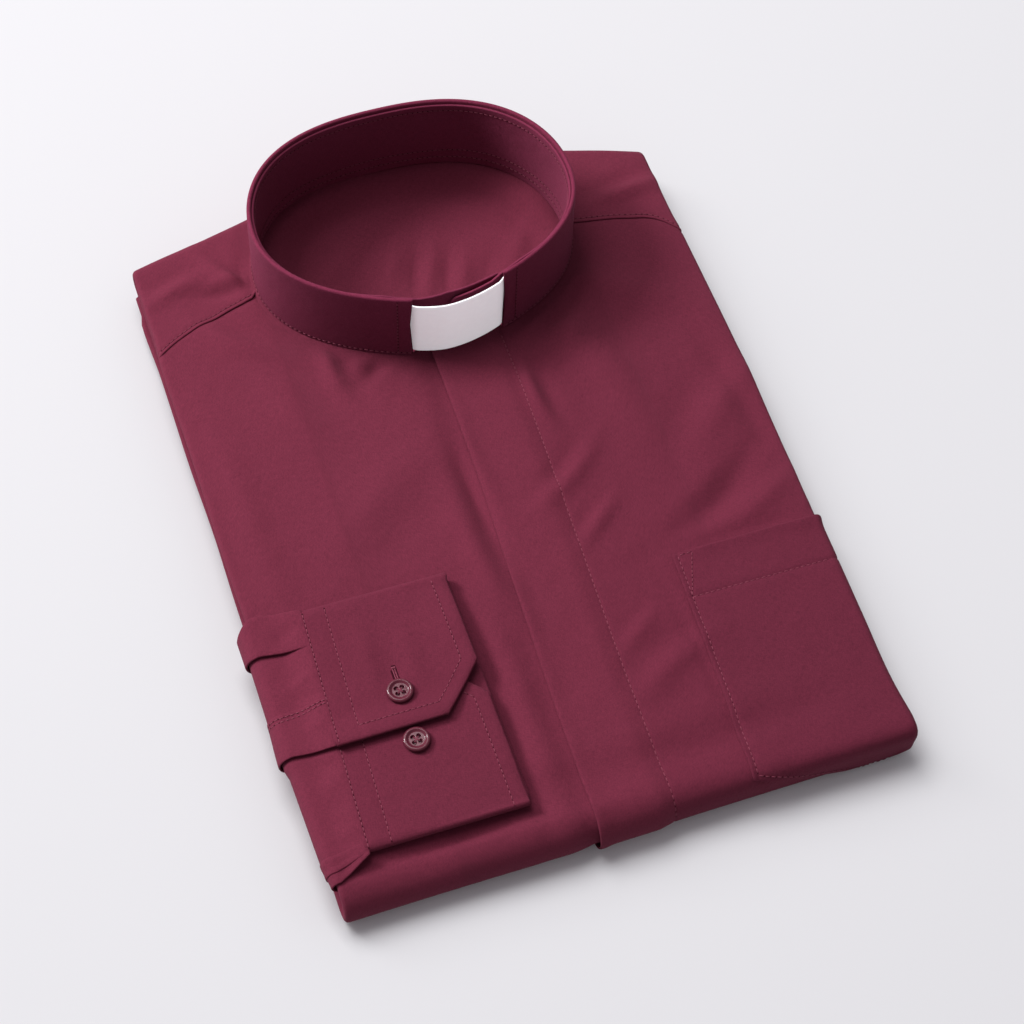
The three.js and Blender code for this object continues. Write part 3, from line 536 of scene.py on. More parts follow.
buttonLook = {
    "view": (0.48, 0.23, 0.3, 1),
    "noise": {"Scale": 260.0, "Detail": 4.0, "Distortion": 1.4},
    "dark": (0.065, 0.008, 0.018, 1),
    "light": (0.105, 0.014, 0.028, 1),
    "surface": {"Roughness": 0.55, "Specular IOR Level": 0.1, "Coat Weight": 0.45, "Coat Roughness": 0.05},
}


# A material whose colour drifts between two shades
def noiseMaterial(name, look):
    material, tree, surface = newMaterial(name, look["view"])
    place = addNode(tree, "ShaderNodeTexCoord")
    noise = addNode(tree, "ShaderNodeTexNoise", look["noise"])
    ramp = addNode(tree, "ShaderNodeValToRGB")
    ramp.color_ramp.elements[0].color = look["dark"]
    ramp.color_ramp.elements[1].color = look["light"]
    join(place, "Object", noise, "Vector")
    join(noise, "Fac", ramp, "Fac")
    join(ramp, "Color", surface, "Base Color")
    if "bump" in look:
        bump = addNode(tree, "ShaderNodeBump", look["bump"])
        join(noise, "Fac", bump, "Height")
        join(bump, "Normal", surface, "Normal")
    setInputs(surface, look["surface"])
    return material


clothOut = poplinMaterial("burgundy_poplin")
# A darker copy of the cloth for the left front and the cuff: painted shade where the light falls off across
# the shirt
clothShadedLeft = poplinMaterial("burgundy_poplin_left_painted_shade", (0.93, 0.91, 0.93))
# A darker copy of the cloth for the pocket: painted shade where the light falls off across the shirt
clothShadedPocket = poplinMaterial("burgundy_poplin_pocket_painted_shade", (0.87, 0.85, 0.88))
# A lighter, bluer copy of the cloth for the collar band: painted fill light on its shaded face
clothLitBand = poplinMaterial("burgundy_poplin_band_painted_fill", (1.2, 1.1, 1.3))
# A still lighter, bluer copy of the cloth for the collar stand inside the ring: painted fill light in its
# shade
clothLitInside = poplinMaterial("burgundy_poplin_stand_painted_fill", (1.3, 1.35, 1.5))
threadFinish = noiseMaterial("sewing_thread", threadLook)
holeShadeFinish = noiseMaterial("needle_hole_painted_shade", needleHoleShadeLook)
insertFinish = noiseMaterial("insert_plastic", insertLook)
buttonFinish = noiseMaterial("dyed_button", buttonLook)
print("materials ready")


def settle(piece, material, slot, *replaced):
    piece.data.materials.append(material)
    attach(piece, "root")
    if replaced:
        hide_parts(*replaced)
    return piece


# Sewing: each line is a row of short raised stitches lying on the cloth

stitch = {
    "sides": 6,
    "profile": [(0.0, 0.12), (0.16, 0.85), (0.5, 1.0), (0.84, 0.85), (1.0, 0.12)],  # share of length, fatness
    "arch": 0.12,
    "rise": 0.06,
    "flatness": 0.38,
    "holeAhead": 0.36,
    "holeLong": 0.46,
    "holeWide": 0.38,
}
stitchRows = []


def sampleAt(at, way, rows):
    return np.stack([np.interp(at, way, rows[:, k]) for k in range(3)], -1)


def sewLine(points, normals, pitch=2.6, length=1.85, width=0.46, sink=0.02):
    points = np.asarray(points, float)
    normals = np.asarray(normals, float)
    steps = np.linalg.norm(np.diff(points, axis=0), axis=1)
    way = np.concatenate([[0], np.cumsum(steps)])
    count = max(int(way[-1] / pitch), 1)
    middles = (np.arange(count) + 0.5) * way[-1] / count
    start = sampleAt(middles - length / 2, way, points)
    end = sampleAt(middles + length / 2, way, points)
    stitchRows.append((start, end, sampleAt(middles, way, normals), width, sink))


# One stitch that lies level, from a to b
def addStitch(a, b, width, sink):
    stitchRows.append((np.array([a]), np.array([b]), np.array([[0, 0, 1.0]]), width, sink))


# Makes one piece of all the stitches noted so far, each with a small dark dome at its end: painted shade of
# the needle hole
def takeStitches(name):
    vertices = []
    faces = []
    finish = []
    sides = stitch["sides"]
    last = len(stitch["profile"]) - 1
    for start, end, normal, width, sink in stitchRows:
        for a, b, n in zip(start, end, normal):
            along = b - a
            side = np.cross(n, along)
            side /= max(np.linalg.norm(side), 1e-9)
            base = len(vertices)
            for share, fat in stitch["profile"]:
                arch = math.sin(math.pi * share) * stitch["arch"]
                centre = a + along * share + n * (arch + stitch["rise"] - sink)
                for k in range(sides):
                    angle = 2 * math.pi * k / sides
                    offset = side * math.cos(angle) * 0.5 + n * math.sin(angle) * stitch["flatness"]
                    vertices.append(centre + offset * width * fat)
            for ring in range(last):
                for k in range(sides):
                    one = base + ring * sides + k
                    two = base + ring * sides + (k + 1) % sides
                    faces.append((one, two, two + sides, one + sides))
            faces.append(tuple(base + k for k in reversed(range(sides))))
            faces.append(tuple(base + last * sides + k for k in range(sides)))
            finish += [0] * (sides * last + 2)
            # A low dark dome past the stitch's end: painted shade where the thread goes into the cloth
            base = len(vertices)
            unit = along / max(np.linalg.norm(along), 1e-9)
            hole = b + unit * stitch["holeAhead"]
            ahead = unit * stitch["holeLong"]
            aside = side * stitch["holeWide"]
            vertices += [hole + step - n * 0.02 for step in (ahead, aside, -ahead, -aside)]
            vertices.append(hole + n * 0.07)
            faces += [(base + k, base + (k + 1) % 4, base + 4) for k in range(4)]
            faces.append((base + 3, base + 2, base + 1, base))
            finish += [1] * 5
    stitchRows.clear()
    made = settle(meshObject(name, vertices, faces), threadFinish, "shirt_cloth")
    made.data.materials.append(holeShadeFinish)
    made.data.polygons.foreach_set("material_index", np.array(finish, dtype=np.int32))
    return made


def upNormals(points):
    return np.repeat([[0.0, 0.0, 1.0]], len(points), 0)


# Stitches along the straight runs between corners
def sewCorners(corners, count, heightAt):
    for (ax, ay), (bx, by) in zip(corners[:-1], corners[1:]):
        t = np.linspace(0, 1, count)
        x = ax + (bx - ax) * t
        y = ay + (by - ay) * t
        sewLine(np.stack([x, y, heightAt(x, y)], -1), upNormals(x), pitch=2.4, length=1.75)


# Fronts

front = {
    "rowStep": 2.3, "columnStep": 2.3, "seamTuck": 5.0, "seamSink": 0.95, "neckRise": 0.8,
    "flyDip": 1.4, "flyDipX": -10.5, "flyDipWidth": 6.5,
    "underInsert": 3.5, "insertX": 4.5, "insertHalf": 20.5,
}


def seamY(x):
    return readCurve(shoulderSeam, x)


# At the neck opening the fronts run in under the insert; elsewhere they end at the band's face
def neckOutset(x):
    beside = soften((np.abs(x - front["insertX"]) - front["insertHalf"]) / 2.5)
    return (front["underInsert"] + 0.1) * beside - front["underInsert"]


def panelRows(startS):
    upper = np.linspace(0, 1, 26)[:-1]
    first = startS[None, :] + (-55 - startS[None, :]) * upper[:, None]
    top = np.arange(-55, hemStart - 1, front["rowStep"])
    fold = np.linspace(hemStart, hemEnd, 22)
    under = np.linspace(hemEnd, hemEnd + body["underLegEndY"] - body["hemFoldY"], 22)[1:]
    rest = np.concatenate([top, fold, under])
    return np.concatenate([first, np.repeat(rest[:, None], len(startS), 1)])


def frontGrid(columns, startY, tucked, extraLift):
    s = panelRows(-startY)
    way = s - s[:1]
    seam = -front["seamSink"] * soften((front["seamTuck"] + 0.8 - way) / 2.2)
    neck = front["neckRise"] * np.exp(-(way / 2.2) ** 2)
    lift = np.where(tucked[None, :], seam, neck) + extraLift(columns["x"][None, :] + 0 * s, s)
    return columnPoints(columns, s, lift)


# The right front dips beside the fly's free edge, and comes level with it under the hem
def underFlyLift(x, s):
    level = body["flyLift"] * np.clip((x + 13) / 3, 0, 1) * (1 - flyShare(s))
    beside = np.exp(-((x - front["flyDipX"]) / front["flyDipWidth"]) ** 2)
    dip = front["flyDip"] * (1 + 0.35 * waver(s, x, 23, 7)) * beside
    return -level - dip * flyShare(s)


# toward is -1 for the front that runs to the left edge, and 1 for the right
def makeFront(name, innerX, neckAngles, edge, toward, extraLift):
    neckX, neckY = collarPlan(neckAngles, neckOutset(planPoint(neckAngles)[0]))
    innerY = collarPlan(frontAngleAt(innerX), neckOutset(innerX))[1]
    shoulderX = np.arange(neckX[-1] + toward * 1.2, edge - toward * 3.4, toward * front["columnStep"])
    fold = sideFoldColumns(edge, -toward, 180, body["sideReturn"])
    columns = joinColumns(flatColumns(innerX), flatColumns(neckX), flatColumns(shoulderX), fold)
    seamLine = seamY(np.concatenate([shoulderX, fold["x"]])) + front["seamTuck"]
    startY = np.concatenate([innerY, neckY, seamLine])
    tucked = np.arange(len(startY)) >= len(innerX) + len(neckX)
    grid = frontGrid(columns, startY, tucked, extraLift)
    return clothSheet(name, grid, body["cloth"], flip=toward > 0)


underFlyX = np.array([15.7, 13, 10, 7, 4, 1, -2, -5, -8, -9.5, -10.5, -11.5, -12.5, -13.5, -14.5])
besideFlyX = np.array([25.2, 26.2, 27.5])
rightAngles = np.arange(float(frontAngleAt(-15.5)), collar["leftSeam"] + 1, -1.6)
leftAngles = np.arange(float(frontAngleAt(29)), collar["rightSeam"] - 1, 1.6)
frontRight = makeFront("shirt_front_right", underFlyX, rightAngles, body["leftX"], -1, underFlyLift)
frontLeft = makeFront("shirt_front_left", besideFlyX, leftAngles, body["rightX"], 1, lambda x, s: 0 * s)
settle(frontRight, clothOut, "shirt_cloth", "front_right")
# The left front takes the darker copy of the cloth: painted shade
settle(frontLeft, clothShadedLeft, "shirt_cloth", "front_left")
print("fronts cut")

# Fly: a doubled band over the right front, stitched level with the left front

fly = {
    "edgeX": -8.7, "stitchX": 25.5, "slope": 8.5, "thickness": 1.15,
    "edgeRise": 0.4, "puff": 0.18, "groove": 0.28,
}


def flyLift(x, s):
    slope = soften((fly["stitchX"] - x) / fly["slope"])
    nearEdge = np.exp(-((x - fly["edgeX"] - 1.2) / 3.4) ** 2)
    edge = 1 + (fly["edgeRise"] + 0.25 * waver(s, 0 * s, 19, 12)) * nearEdge
    puff = fly["puff"] * waver(s, x, 14, 6) * slope
    groove = -fly["groove"] * np.exp(-((x - fly["stitchX"] + 0.9) / 0.55) ** 2)
    return body["flyLift"] * slope * flyShare(s) * edge + puff * flyShare(s) + groove


def makeFly():
    edge = fly["edgeX"]
    stitchX = fly["stitchX"]
    xs = np.concatenate([
        edge + np.array([0, 0.4, 0.9, 1.6, 2.6]),
        np.arange(edge + 4.5, stitchX - 3, 2.2),
        stitchX + np.array([-2.6, -1.9, -1.4, -0.9, -0.4, 0.1, 0.7]),
    ])
    columns = flatColumns(xs)
    startY = collarPlan(frontAngleAt(xs), neckOutset(xs) + 0.25)[1]
    s = panelRows(-startY)
    way = s - s[:1]
    lift = flyLift(xs[None, :] + 0 * s, s) + 0.35 * np.exp(-(way / 2.0) ** 2)
    grid = columnPoints(columns, s, lift)
    made = clothSheet("shirt_fly", grid, fly["thickness"], flip=True)
    neckEnd = -collarPlan(frontAngleAt(stitchX), 2.5)[1]
    rows = np.linspace(neckEnd, hemStart + 0.9 * math.pi * hemRadius / 2, 260)[:, None]
    lift = flyLift(stitchX - 0.9 + 0 * rows, rows)
    path, beside = (columnPoints(flatColumns([stitchX - back]), rows, lift)[:, 0] for back in (0.9, 2.0))
    normal = np.cross(np.gradient(path, axis=0), beside - path)
    normal /= np.linalg.norm(normal, axis=1, keepdims=True)
    normal *= np.where(normal[:1, 2:3] < 0, -1, 1)
    sewLine(path, normal, pitch=2.7, length=1.9)
    return made


flyPiece = settle(makeFly(), clothOut, "shirt_cloth", "fly_placket")
takeStitches("shirt_fly_stitching")
print("fly sewn")

# Yoke: from the shoulder seams over the folded edge, and back under the neck

yoke = {
    "foldRadius": 5.5, "innerEndY": 68.0, "dip": 3.0, "dipAcross": 46, "dipAlong": 36, "thickness": 0.9,
    "seamLift": 0.55, "stitchIn": 1.7, "climb": 8.2, "leftClimb": 3.2, "climbWidth": 17,
}


def neckDip(x, y):
    across = (x - collar["centre"][0]) / yoke["dipAcross"]
    along = (y - collar["centre"][1] + 6) / yoke["dipAlong"]
    return yoke["dip"] * np.exp(-(across ** 2) - along ** 2)


# Wrinkles in the cloth seen inside the collar: x, y, turn, half length, half width, height
innerWrinkles = [
    (-8, 142, 66, 13, 3.0, 0.9),
    (1, 138, 70, 15, 2.8, -1.3),
    (8, 135, 68, 15, 2.6, 1.4),
    (15, 130, 70, 14, 2.6, -1.4),
    (22, 127, 66, 15, 2.8, 1.3),
    (32, 124, 60, 14, 3.2, -1.0),
    (50, 132, 52, 20, 4.0, 1.1),
    (-34, 150, 40, 22, 5.0, 1.0),
    (-18, 172, 16, 34, 8.0, 0.9),
    (34, 166, -20, 30, 7.0, 0.9),
]


def innerRise(x, y):
    return addRidges(0.25 * waver(x, y, 15, 8), x, y, innerWrinkles)


# Behind the neck the inner cloth climbs to the foot of the stand
def neckClimb(x, y):
    angle = np.radians(collarAngle(x, y))
    toWall = -outsideCollar(x, y)
    leftness = np.maximum(-np.cos(angle), 0)
    share = soften((np.sin(angle) + 0.45 + 0.45 * leftness) / 0.8)
    inside = soften((toWall + 5) / 5)
    height = yoke["climb"] + yoke["leftClimb"] * leftness
    return height * share * inside * (1 - soften((toWall - 2.5 - 4.5 * leftness) / yoke["climbWidth"]))


def yokeSurface(x, s, depth, lift):
    x, s, depth, lift = np.broadcast_arrays(x, s, depth, lift)
    radiusFull = yoke["foldRadius"]
    foldLength = math.pi * radiusFull
    foldY = readCurve(shoulderEdge, x) - radiusFull + 0.3 * waver(x, 0 * x, 17, 9)
    turn = np.clip(s / radiusFull, 0, math.pi)
    topY = foldY + np.minimum(s, 0)
    underY = foldY - np.maximum(s - foldLength, 0)
    rise = clothRise(x, topY) * (1 + np.cos(turn)) / 2
    climb = neckClimb(x, underY) * soften((s - 0.5 * foldLength) / 6)
    under = (neckDip(x, underY) - innerRise(x, underY)) * (1 - np.cos(turn)) / 2 - climb
    radius = radiusFull - depth + lift
    z = body["height"] - radiusFull + radius * np.cos(turn) + rise - under
    y = np.where(s <= 0, topY, np.where(s >= foldLength, underY, foldY)) + np.where(
        (s > 0) & (s < foldLength), radius * np.sin(turn), 0
    )
    return np.stack([x, y, z], -1)


def makeYoke():
    foldLeft = sideFoldColumns(body["leftX"], 1, 180, 5.0)
    foldRight = sideFoldColumns(body["rightX"], -1, 180, 5.0)
    foldLeft = {key: value[::-1] for key, value in foldLeft.items()}
    arc = np.arange(180 - collar["twist"] - 0.2, -collar["twist"] + 0.2, -1.8)
    neckX, neckY = collarPlan(arc, 0.15)
    leftX = np.arange(body["leftX"] + 3.4, neckX[0] - 1.0, 2.2)
    rightX = np.arange(neckX[-1] + 1.2, body["rightX"] - 3.4, 2.2)
    columns = joinColumns(foldLeft, flatColumns(leftX), flatColumns(neckX), flatColumns(rightX), foldRight)
    xs = columns["x"]
    neckFrom = len(foldLeft["x"]) + len(leftX)
    neckTo = neckFrom + len(neckX)
    startY = np.concatenate([seamY(xs[:neckFrom]), neckY, seamY(xs[neckTo:])])
    onNeck = (np.arange(len(xs)) >= neckFrom) & (np.arange(len(xs)) < neckTo)
    radius = yoke["foldRadius"]
    foldLength = math.pi * radius
    foldY = readCurve(shoulderEdge, xs) - radius
    beyond = np.clip((startY - foldY) / radius, -1, 1)
    start = np.where(beyond > 0, np.arcsin(np.clip(beyond, 0, 1)) * radius, startY - foldY)
    flatEnd = np.maximum(start, 0)
    way = np.concatenate([[0, 0.6, 1.2, 1.7, 2.2, 3.0], np.linspace(4, 60, 22)])
    share = way / way[-1]
    first = start[None, :] + (flatEnd - start)[None, :] * share[:, None]
    bend = flatEnd[None, :] + (foldLength - flatEnd)[None, :] * np.linspace(0, 1, 16)[1:, None]
    under = foldLength + (foldY - yoke["innerEndY"])[None, :] * np.linspace(0, 1, 62)[1:, None]
    s = np.concatenate([first, bend, under])
    walked = s - start[None, :]
    seamed = yoke["seamLift"] * np.exp(-(walked / 7.0) ** 2)
    groove = -0.25 * np.exp(-((walked - yoke["stitchIn"]) / 0.6) ** 2)
    neckRise = front["neckRise"] * np.exp(-(walked / 2.2) ** 2) * (foldY > startY)[None, :]
    lift = np.where(onNeck[None, :], neckRise, seamed + groove)
    x = xs + panelShift(xs, 0 * xs - 150)
    grid = yokeSurface(x[None, :] - columns["inX"][None, :] * lift, s, columns["depth"][None, :], lift)
    made = clothSheet("shirt_yoke", grid, yoke["thickness"])
    for part in (slice(2, neckFrom), slice(neckTo, -2)):
        sRow = start[part] + yoke["stitchIn"]
        sunk = yoke["seamLift"] - 0.2
        path = yokeSurface(x[part], sRow, columns["depth"][part], sunk)
        sewLine(path, np.stack([-columns["inX"][part], 0 * sRow, columns["inDepth"][part]], -1))
    return made


yokePiece = settle(makeYoke(), clothOut, "shirt_cloth", "yoke")
takeStitches("shirt_yoke_stitching")
print("yoke sewn")

# Collar band and stand: each a closed strip with rounded edges, swept round the collar's plan

band = {"thickness": 2.0, "roundness": 0.95, "stitchUp": 3.7, "endStitch": 7.0, "endBow": 1.3}
bandDegrees = 57.3 / 60.5  # of the plan for each millimetre round the front


def stripSection(thickness, low, high, r):
    turn = np.linspace(0, math.pi / 2, 5)
    rows = 20
    outerTop = [(r * (1 - math.sin(a)), high - r * (1 - math.cos(a))) for a in turn[::-1]]
    innerTop = [(thickness - r * (1 - math.sin(a)), high - r * (1 - math.cos(a))) for a in turn]
    wall = [(0, z) for z in np.linspace(low + r, high - r, rows)[1:-1]]
    back = [(thickness, z) for z in np.linspace(high - r, low + r, rows)[1:-1]]
    outerLow = [(r * (1 - math.sin(a)), low + r * (1 - math.cos(a))) for a in turn]
    innerLow = [(thickness - r * (1 - math.sin(a)), low + r * (1 - math.cos(a))) for a in turn[::-1]]
    return outerLow + wall + outerTop + innerTop + back + innerLow


def sweepStrip(name, angles, insetAt, topDropAt, thickness, low, high, roundness, wobble, bow=0.0):
    section = np.array(stripSection(thickness, low, high, roundness))
    vertices = []
    uvs = []
    lengths = np.concatenate([[0], np.cumsum(np.hypot(*np.diff(np.array(planPoint(angles)), axis=1)))])
    around = np.concatenate([[0], np.cumsum(np.linalg.norm(np.diff(section, axis=0), axis=1))])
    for k, angle in enumerate(angles):
        edge = min(lengths[k], lengths[-1] - lengths[k])
        slim = math.sqrt(max(1 - (1 - min(edge / roundness, 1)) ** 2, 0.02))
        share = (section[:, 1] - low) / (high - low)
        z = section[:, 1] - topDropAt(angle) * share
        depth = thickness / 2 + (section[:, 0] - thickness / 2) * slim
        nearStart = math.exp(-lengths[k] / 3.5)
        nearEnd = math.exp(-(lengths[-1] - lengths[k]) / 3.5)
        bowed = bow * (nearStart - nearEnd) * (1 - (2 * share - 1) ** 2)
        x, y = collarPlan(angle + bowed, -(insetAt(angle) + depth + wobble(angle, z)))
        vertices.append(np.stack([x, y, z], -1))
        uvs.append(np.stack([0 * z + lengths[k], around], -1))
    faces = ringFaces(len(angles), len(section))
    return meshObject(name, np.concatenate(vertices), faces, np.concatenate(uvs))


def endsRefined(start, end, step=1.5):
    middle = np.arange(start + 1.2, end - 1.2, step)
    near = start + np.array([0, 0.06, 0.15, 0.3, 0.5, 0.8])
    far = end - np.array([0.8, 0.5, 0.3, 0.15, 0.06, 0])
    return np.concatenate([near, middle, far])


bandStart = float(frontAngleAt(collar["gapRightX"])) - 360
bandEnd = float(frontAngleAt(collar["gapLeftX"]))


def bandWobble(angle, z):
    up = (np.asarray(z) - collar["bottom"]) / collar["height"]
    soft = 0.35 * waver(angle * 1.25, z, 16, 11) * soften(up * 3) * soften((1.05 - up) * 4)
    groove = 0.2 * np.exp(-((z - collar["bottom"] - band["stitchUp"]) / 0.7) ** 2)
    return soft + groove


def makeBand():
    angles = endsRefined(bandStart, bandEnd)
    made = sweepStrip(
        "shirt_collar_band", angles, lambda a: 0.0, lambda a: 0.0, band["thickness"],
        collar["bottom"] - 0.2, collarTop, band["roundness"], bandWobble, band["endBow"],
    )
    seam = np.arange(bandStart + 0.5, bandEnd - 0.4, 0.6)
    z = collar["bottom"] + band["stitchUp"] + 0 * seam
    x, y = collarPlan(seam, 0.05)
    ox, oy = collarPlan(seam, 1.05)
    sewLine(np.stack([x, y, z], -1), np.stack([ox - x, oy - y, 0 * z], -1), pitch=2.5, length=1.7, width=0.6)
    for end, way in ((bandStart, 1), (bandEnd, -1)):
        angle = end + way * band["endStitch"] * bandDegrees
        z = np.linspace(collar["bottom"] + 3, collarTop - 1.5, 40)
        x, y = collarPlan(angle + 0 * z, 0.12 - bandWobble(angle, z))
        ox, oy = collarPlan(angle, 1.0)
        cx, cy = collarPlan(angle, 0.0)
        normal = np.array([ox - cx, oy - cy, 0.0])
        sewLine(np.stack([x, y, z], -1), np.repeat([normal], len(z), 0), pitch=2.3, length=1.6)
    return made


# The band takes the lighter copy of the cloth: painted fill light
settle(makeBand(), clothLitBand, "shirt_cloth", "collar_band")
takeStitches("shirt_collar_stitching")

stand = {"thickness": 1.15, "seamUnderTop": 2.6}
standNear = float(frontAngleAt(1.5)) - 360
standFar = float(frontAngleAt(29))

# The stand along its length: angle, inset from the band's face, drop of its top edge
standRun = [
    (standNear, 5.2, 9.2),
    (standNear + 3, 5.0, 8.7),
    *((float(frontAngleAt(x)) - 360, inset, drop) for x, inset, drop in (
        (23, 4.2, 7.4), (29, 3.6, 3.8), (38, 2.8, 2.0), (52, 1.8, 1.9),
    )),
    *((float(frontAngleAt(x)), inset, drop) for x, inset, drop in (
        (-46, 1.8, 1.9), (-30, 3.2, 2.2), (-22, 4.2, 4.0), (-15, 4.9, 5.6), (0, 6.9, 5.8), (24, 7.4, 8.7),
    )),
    (standFar, 7.6, 9.5),
]


def standWobble(angle, z):
    up = (np.asarray(z) - collar["bottom"]) / collar["height"]
    soft = 0.45 * waver(angle * 1.3, z * 0.5, 9, 13) + 0.3 * waver(angle * 1.3, z, 21, 14)
    seam = 0.22 * np.exp(-((z - collarTop + stand["seamUnderTop"] + 1.3) / 0.5) ** 2)
    return soft * soften(up * 4) * soften((1 - up) * 3) - seam + 0.2


def nearEndDrop(angle):
    return 3.2 * max(0.0, 1 - (angle - standNear) / 2.4) ** 2


def makeStand():
    angles = endsRefined(standNear, standFar)
    made = sweepStrip(
        "shirt_collar_stand", angles,
        lambda a: readRows(standRun, a), lambda a: readRows(standRun, a, 2) + nearEndDrop(a),
        stand["thickness"], collar["bottom"] - 0.2, collarTop, 0.5, standWobble,
    )
    seam = np.arange(standNear + 6, standFar - 8, 0.7)
    inset = readRows(standRun, seam)
    drop = readRows(standRun, seam, 2)
    x, y = collarPlan(seam, 0)
    inwardX, inwardY = collarPlan(seam, -1.0)
    nx, ny = inwardX - x, inwardY - y
    for z in (collar["bottom"] + 4.2 + 0 * seam, collar["bottom"] + 9.0 + 0 * seam, collarTop - 3.4 - drop):
        depth = inset + stand["thickness"] + standWobble(seam, z) + 0.06
        sewLine(np.stack([x + nx * depth, y + ny * depth, z], -1), np.stack([nx, ny, 0 * z], -1), pitch=2.4)
    return made


# The stand takes the lighter copy of the cloth: painted fill light
settle(makeStand(), clothLitInside, "shirt_cloth", "collar_stand")
takeStitches("shirt_stand_stitching")
print("collar sewn")

# White insert: a thin springy strip with rolled edges, tucked behind the band's two ends

insert = {
    "height": 31.8, "thickness": 0.9, "tuck": 6.5, "bulge": -0.2,
    "endInset": 1.6, "endTurn": 1.1, "drop": 0.7,
}


def makeInsert():
    start = float(frontAngleAt(collar["gapLeftX"] - insert["tuck"]))
    end = float(frontAngleAt(collar["gapRightX"] + insert["tuck"]))
    middle = (start + end) / 2
    low = collar["bottom"] + (collar["height"] - insert["height"]) / 2 - insert["drop"]

    def insetAt(angle):
        away = min(abs(angle - middle) / (end - middle), 1)
        turnedIn = insert["endTurn"] * float(soften((away - 0.7) / 0.16))
        return float(insert["bulge"] + (insert["endInset"] - insert["bulge"]) * away ** 2) + turnedIn

    return sweepStrip(
        "collar_insert", endsRefined(start, end, 1.0), insetAt, lambda a: 0.0, insert["thickness"],
        low, low + insert["height"], 0.4, lambda a, z: 0 * z,
    )


insertPiece = settle(makeInsert(), insertFinish, "collar_insert", "collar_tab")
insertPiece.visible_diffuse = False  # its white doesn't glow on the cloth at its foot
print("insert in place")

# Pocket

pocket = {
    "edgeX": 57.0, "topY": -58.4, "side": 112.0, "point": 131.0, "pointX": 109.0,
    "lean": -6.0, "hem": 22.6, "thickness": 0.85, "foldTurn": 110,
    "lift": 1.15, "mouthRise": 0.8, "sideGroove": 0.25, "hemGroove": 0.28, "hemRise": 0.12, "waver": 0.14,
}


def pocketLift(columns, s):
    x = columns["x"][None, :] + 0 * s
    fromEdge = x - pocket["edgeX"]
    fromTop = s + pocket["topY"]
    lift = pocket["lift"] + 0.05 * np.exp(-(fromEdge / 2.5) ** 2)
    lift = lift + pocket["mouthRise"] * np.exp(-(fromTop / 3.5) ** 2) * soften(fromEdge / 14)
    lift = lift - pocket["sideGroove"] * np.exp(-((fromEdge - 2.0) / 0.6) ** 2)
    lift = lift - pocket["hemGroove"] * np.exp(-((fromTop - pocket["hem"]) / 0.6) ** 2)
    lift = lift + pocket["hemRise"] * soften((pocket["hem"] - fromTop) / 2)
    return lift + pocket["waver"] * waver(x, s, 13, 16)


def pocketPlace(columns, s):
    lift = pocketLift(columns, s)
    top = -pocket["topY"]
    x = columns["x"][None, :]
    lean = pocket["lean"] * np.minimum((s - top) / pocket["side"], 1)
    lean = lean * (1 - soften((x - pocket["edgeX"]) / (body["rightX"] - 10 - pocket["edgeX"])))
    taper = rightTaper(x, np.maximum(-s, body["hemFoldY"]))
    placed = x - taper + lean - columns["inX"][None, :] * lift
    return bodySurface(placed, s, columns["depth"][None, :] - columns["inDepth"][None, :] * lift)


def pocketLength(x):
    share = np.minimum(np.abs(x - pocket["pointX"]) / (pocket["pointX"] - pocket["edgeX"]), 1)
    return pocket["point"] + (pocket["side"] - pocket["point"]) * share


def makePocket():
    near = pocket["edgeX"] + np.array([0, 0.5, 1.1, 1.6, 2.0, 2.4, 3.0])
    flat = np.concatenate([near, np.arange(pocket["edgeX"] + 5, body["rightX"] - 2.4, 2.3)])
    columns = joinColumns(flatColumns(flat), sideFoldColumns(body["rightX"], -1, pocket["foldTurn"], 0))
    top = -pocket["topY"]
    hem = pocket["hem"]
    upper = np.concatenate([
        [0, 0.5, 1.2, 2.2], np.arange(4.5, hem - 2, 2.4), [hem - 1.2, hem - 0.6, hem, hem + 0.6, hem + 1.2],
    ])
    share = np.linspace(0, 1, 52)[1:]
    length = pocketLength(columns["x"])
    s = np.concatenate([
        top + np.repeat(upper[:, None], len(length), 1),
        top + hem + 1.2 + (length - hem - 1.2)[None, :] * share[:, None],
    ])
    made = clothSheet("shirt_pocket", pocketPlace(columns, s), pocket["thickness"], flip=True)
    down = np.linspace(top + 1, top + pocket["side"] - 2, 120)[:, None]
    sewLine(pocketPlace(flatColumns([pocket["edgeX"] + 2.0]), down)[:, 0], foldNormals(down[:, 0]))
    hemX = np.arange(pocket["edgeX"] + 2, body["rightX"] - 2, 2.0)
    path = pocketPlace(flatColumns(hemX), np.full((1, len(hemX)), top + hem))[0]
    sewLine(path, upNormals(path))
    footX = np.arange(pocket["edgeX"] + 2, body["rightX"] - 3, 2.0)
    level = top + pocketLength(footX) - 2.0
    sewLine(pocketPlace(flatColumns(footX), level[None, :])[0], foldNormals(level))
    for (ax, ay), (bx, by) in (((2.0, 1.0), (8.5, 1.0)), ((8.5, 1.0), (2.0, hem - 0.8))):
        t = np.linspace(0, 1, 12)
        spot = flatColumns(pocket["edgeX"] + ax + (bx - ax) * t)
        path = pocketPlace(spot, (top + ay + (by - ay) * t)[None, :])[0]
        sewLine(path, upNormals(path), pitch=2.2, length=1.6)
    return made


def foldNormals(s):
    turn = np.clip((s - hemStart) / hemRadius, 0, math.pi)
    return np.stack([0 * turn, -np.sin(turn), np.cos(turn)], -1)


# The pocket takes the darker copy of the cloth: painted shade
pocketPiece = settle(makePocket(), clothShadedPocket, "shirt_cloth", "pocket")
takeStitches("shirt_pocket_stitching")
print("pocket sewn")

# Cuff: one wall from the flap over the top fold, under, over the bottom fold and up to the underlap's end

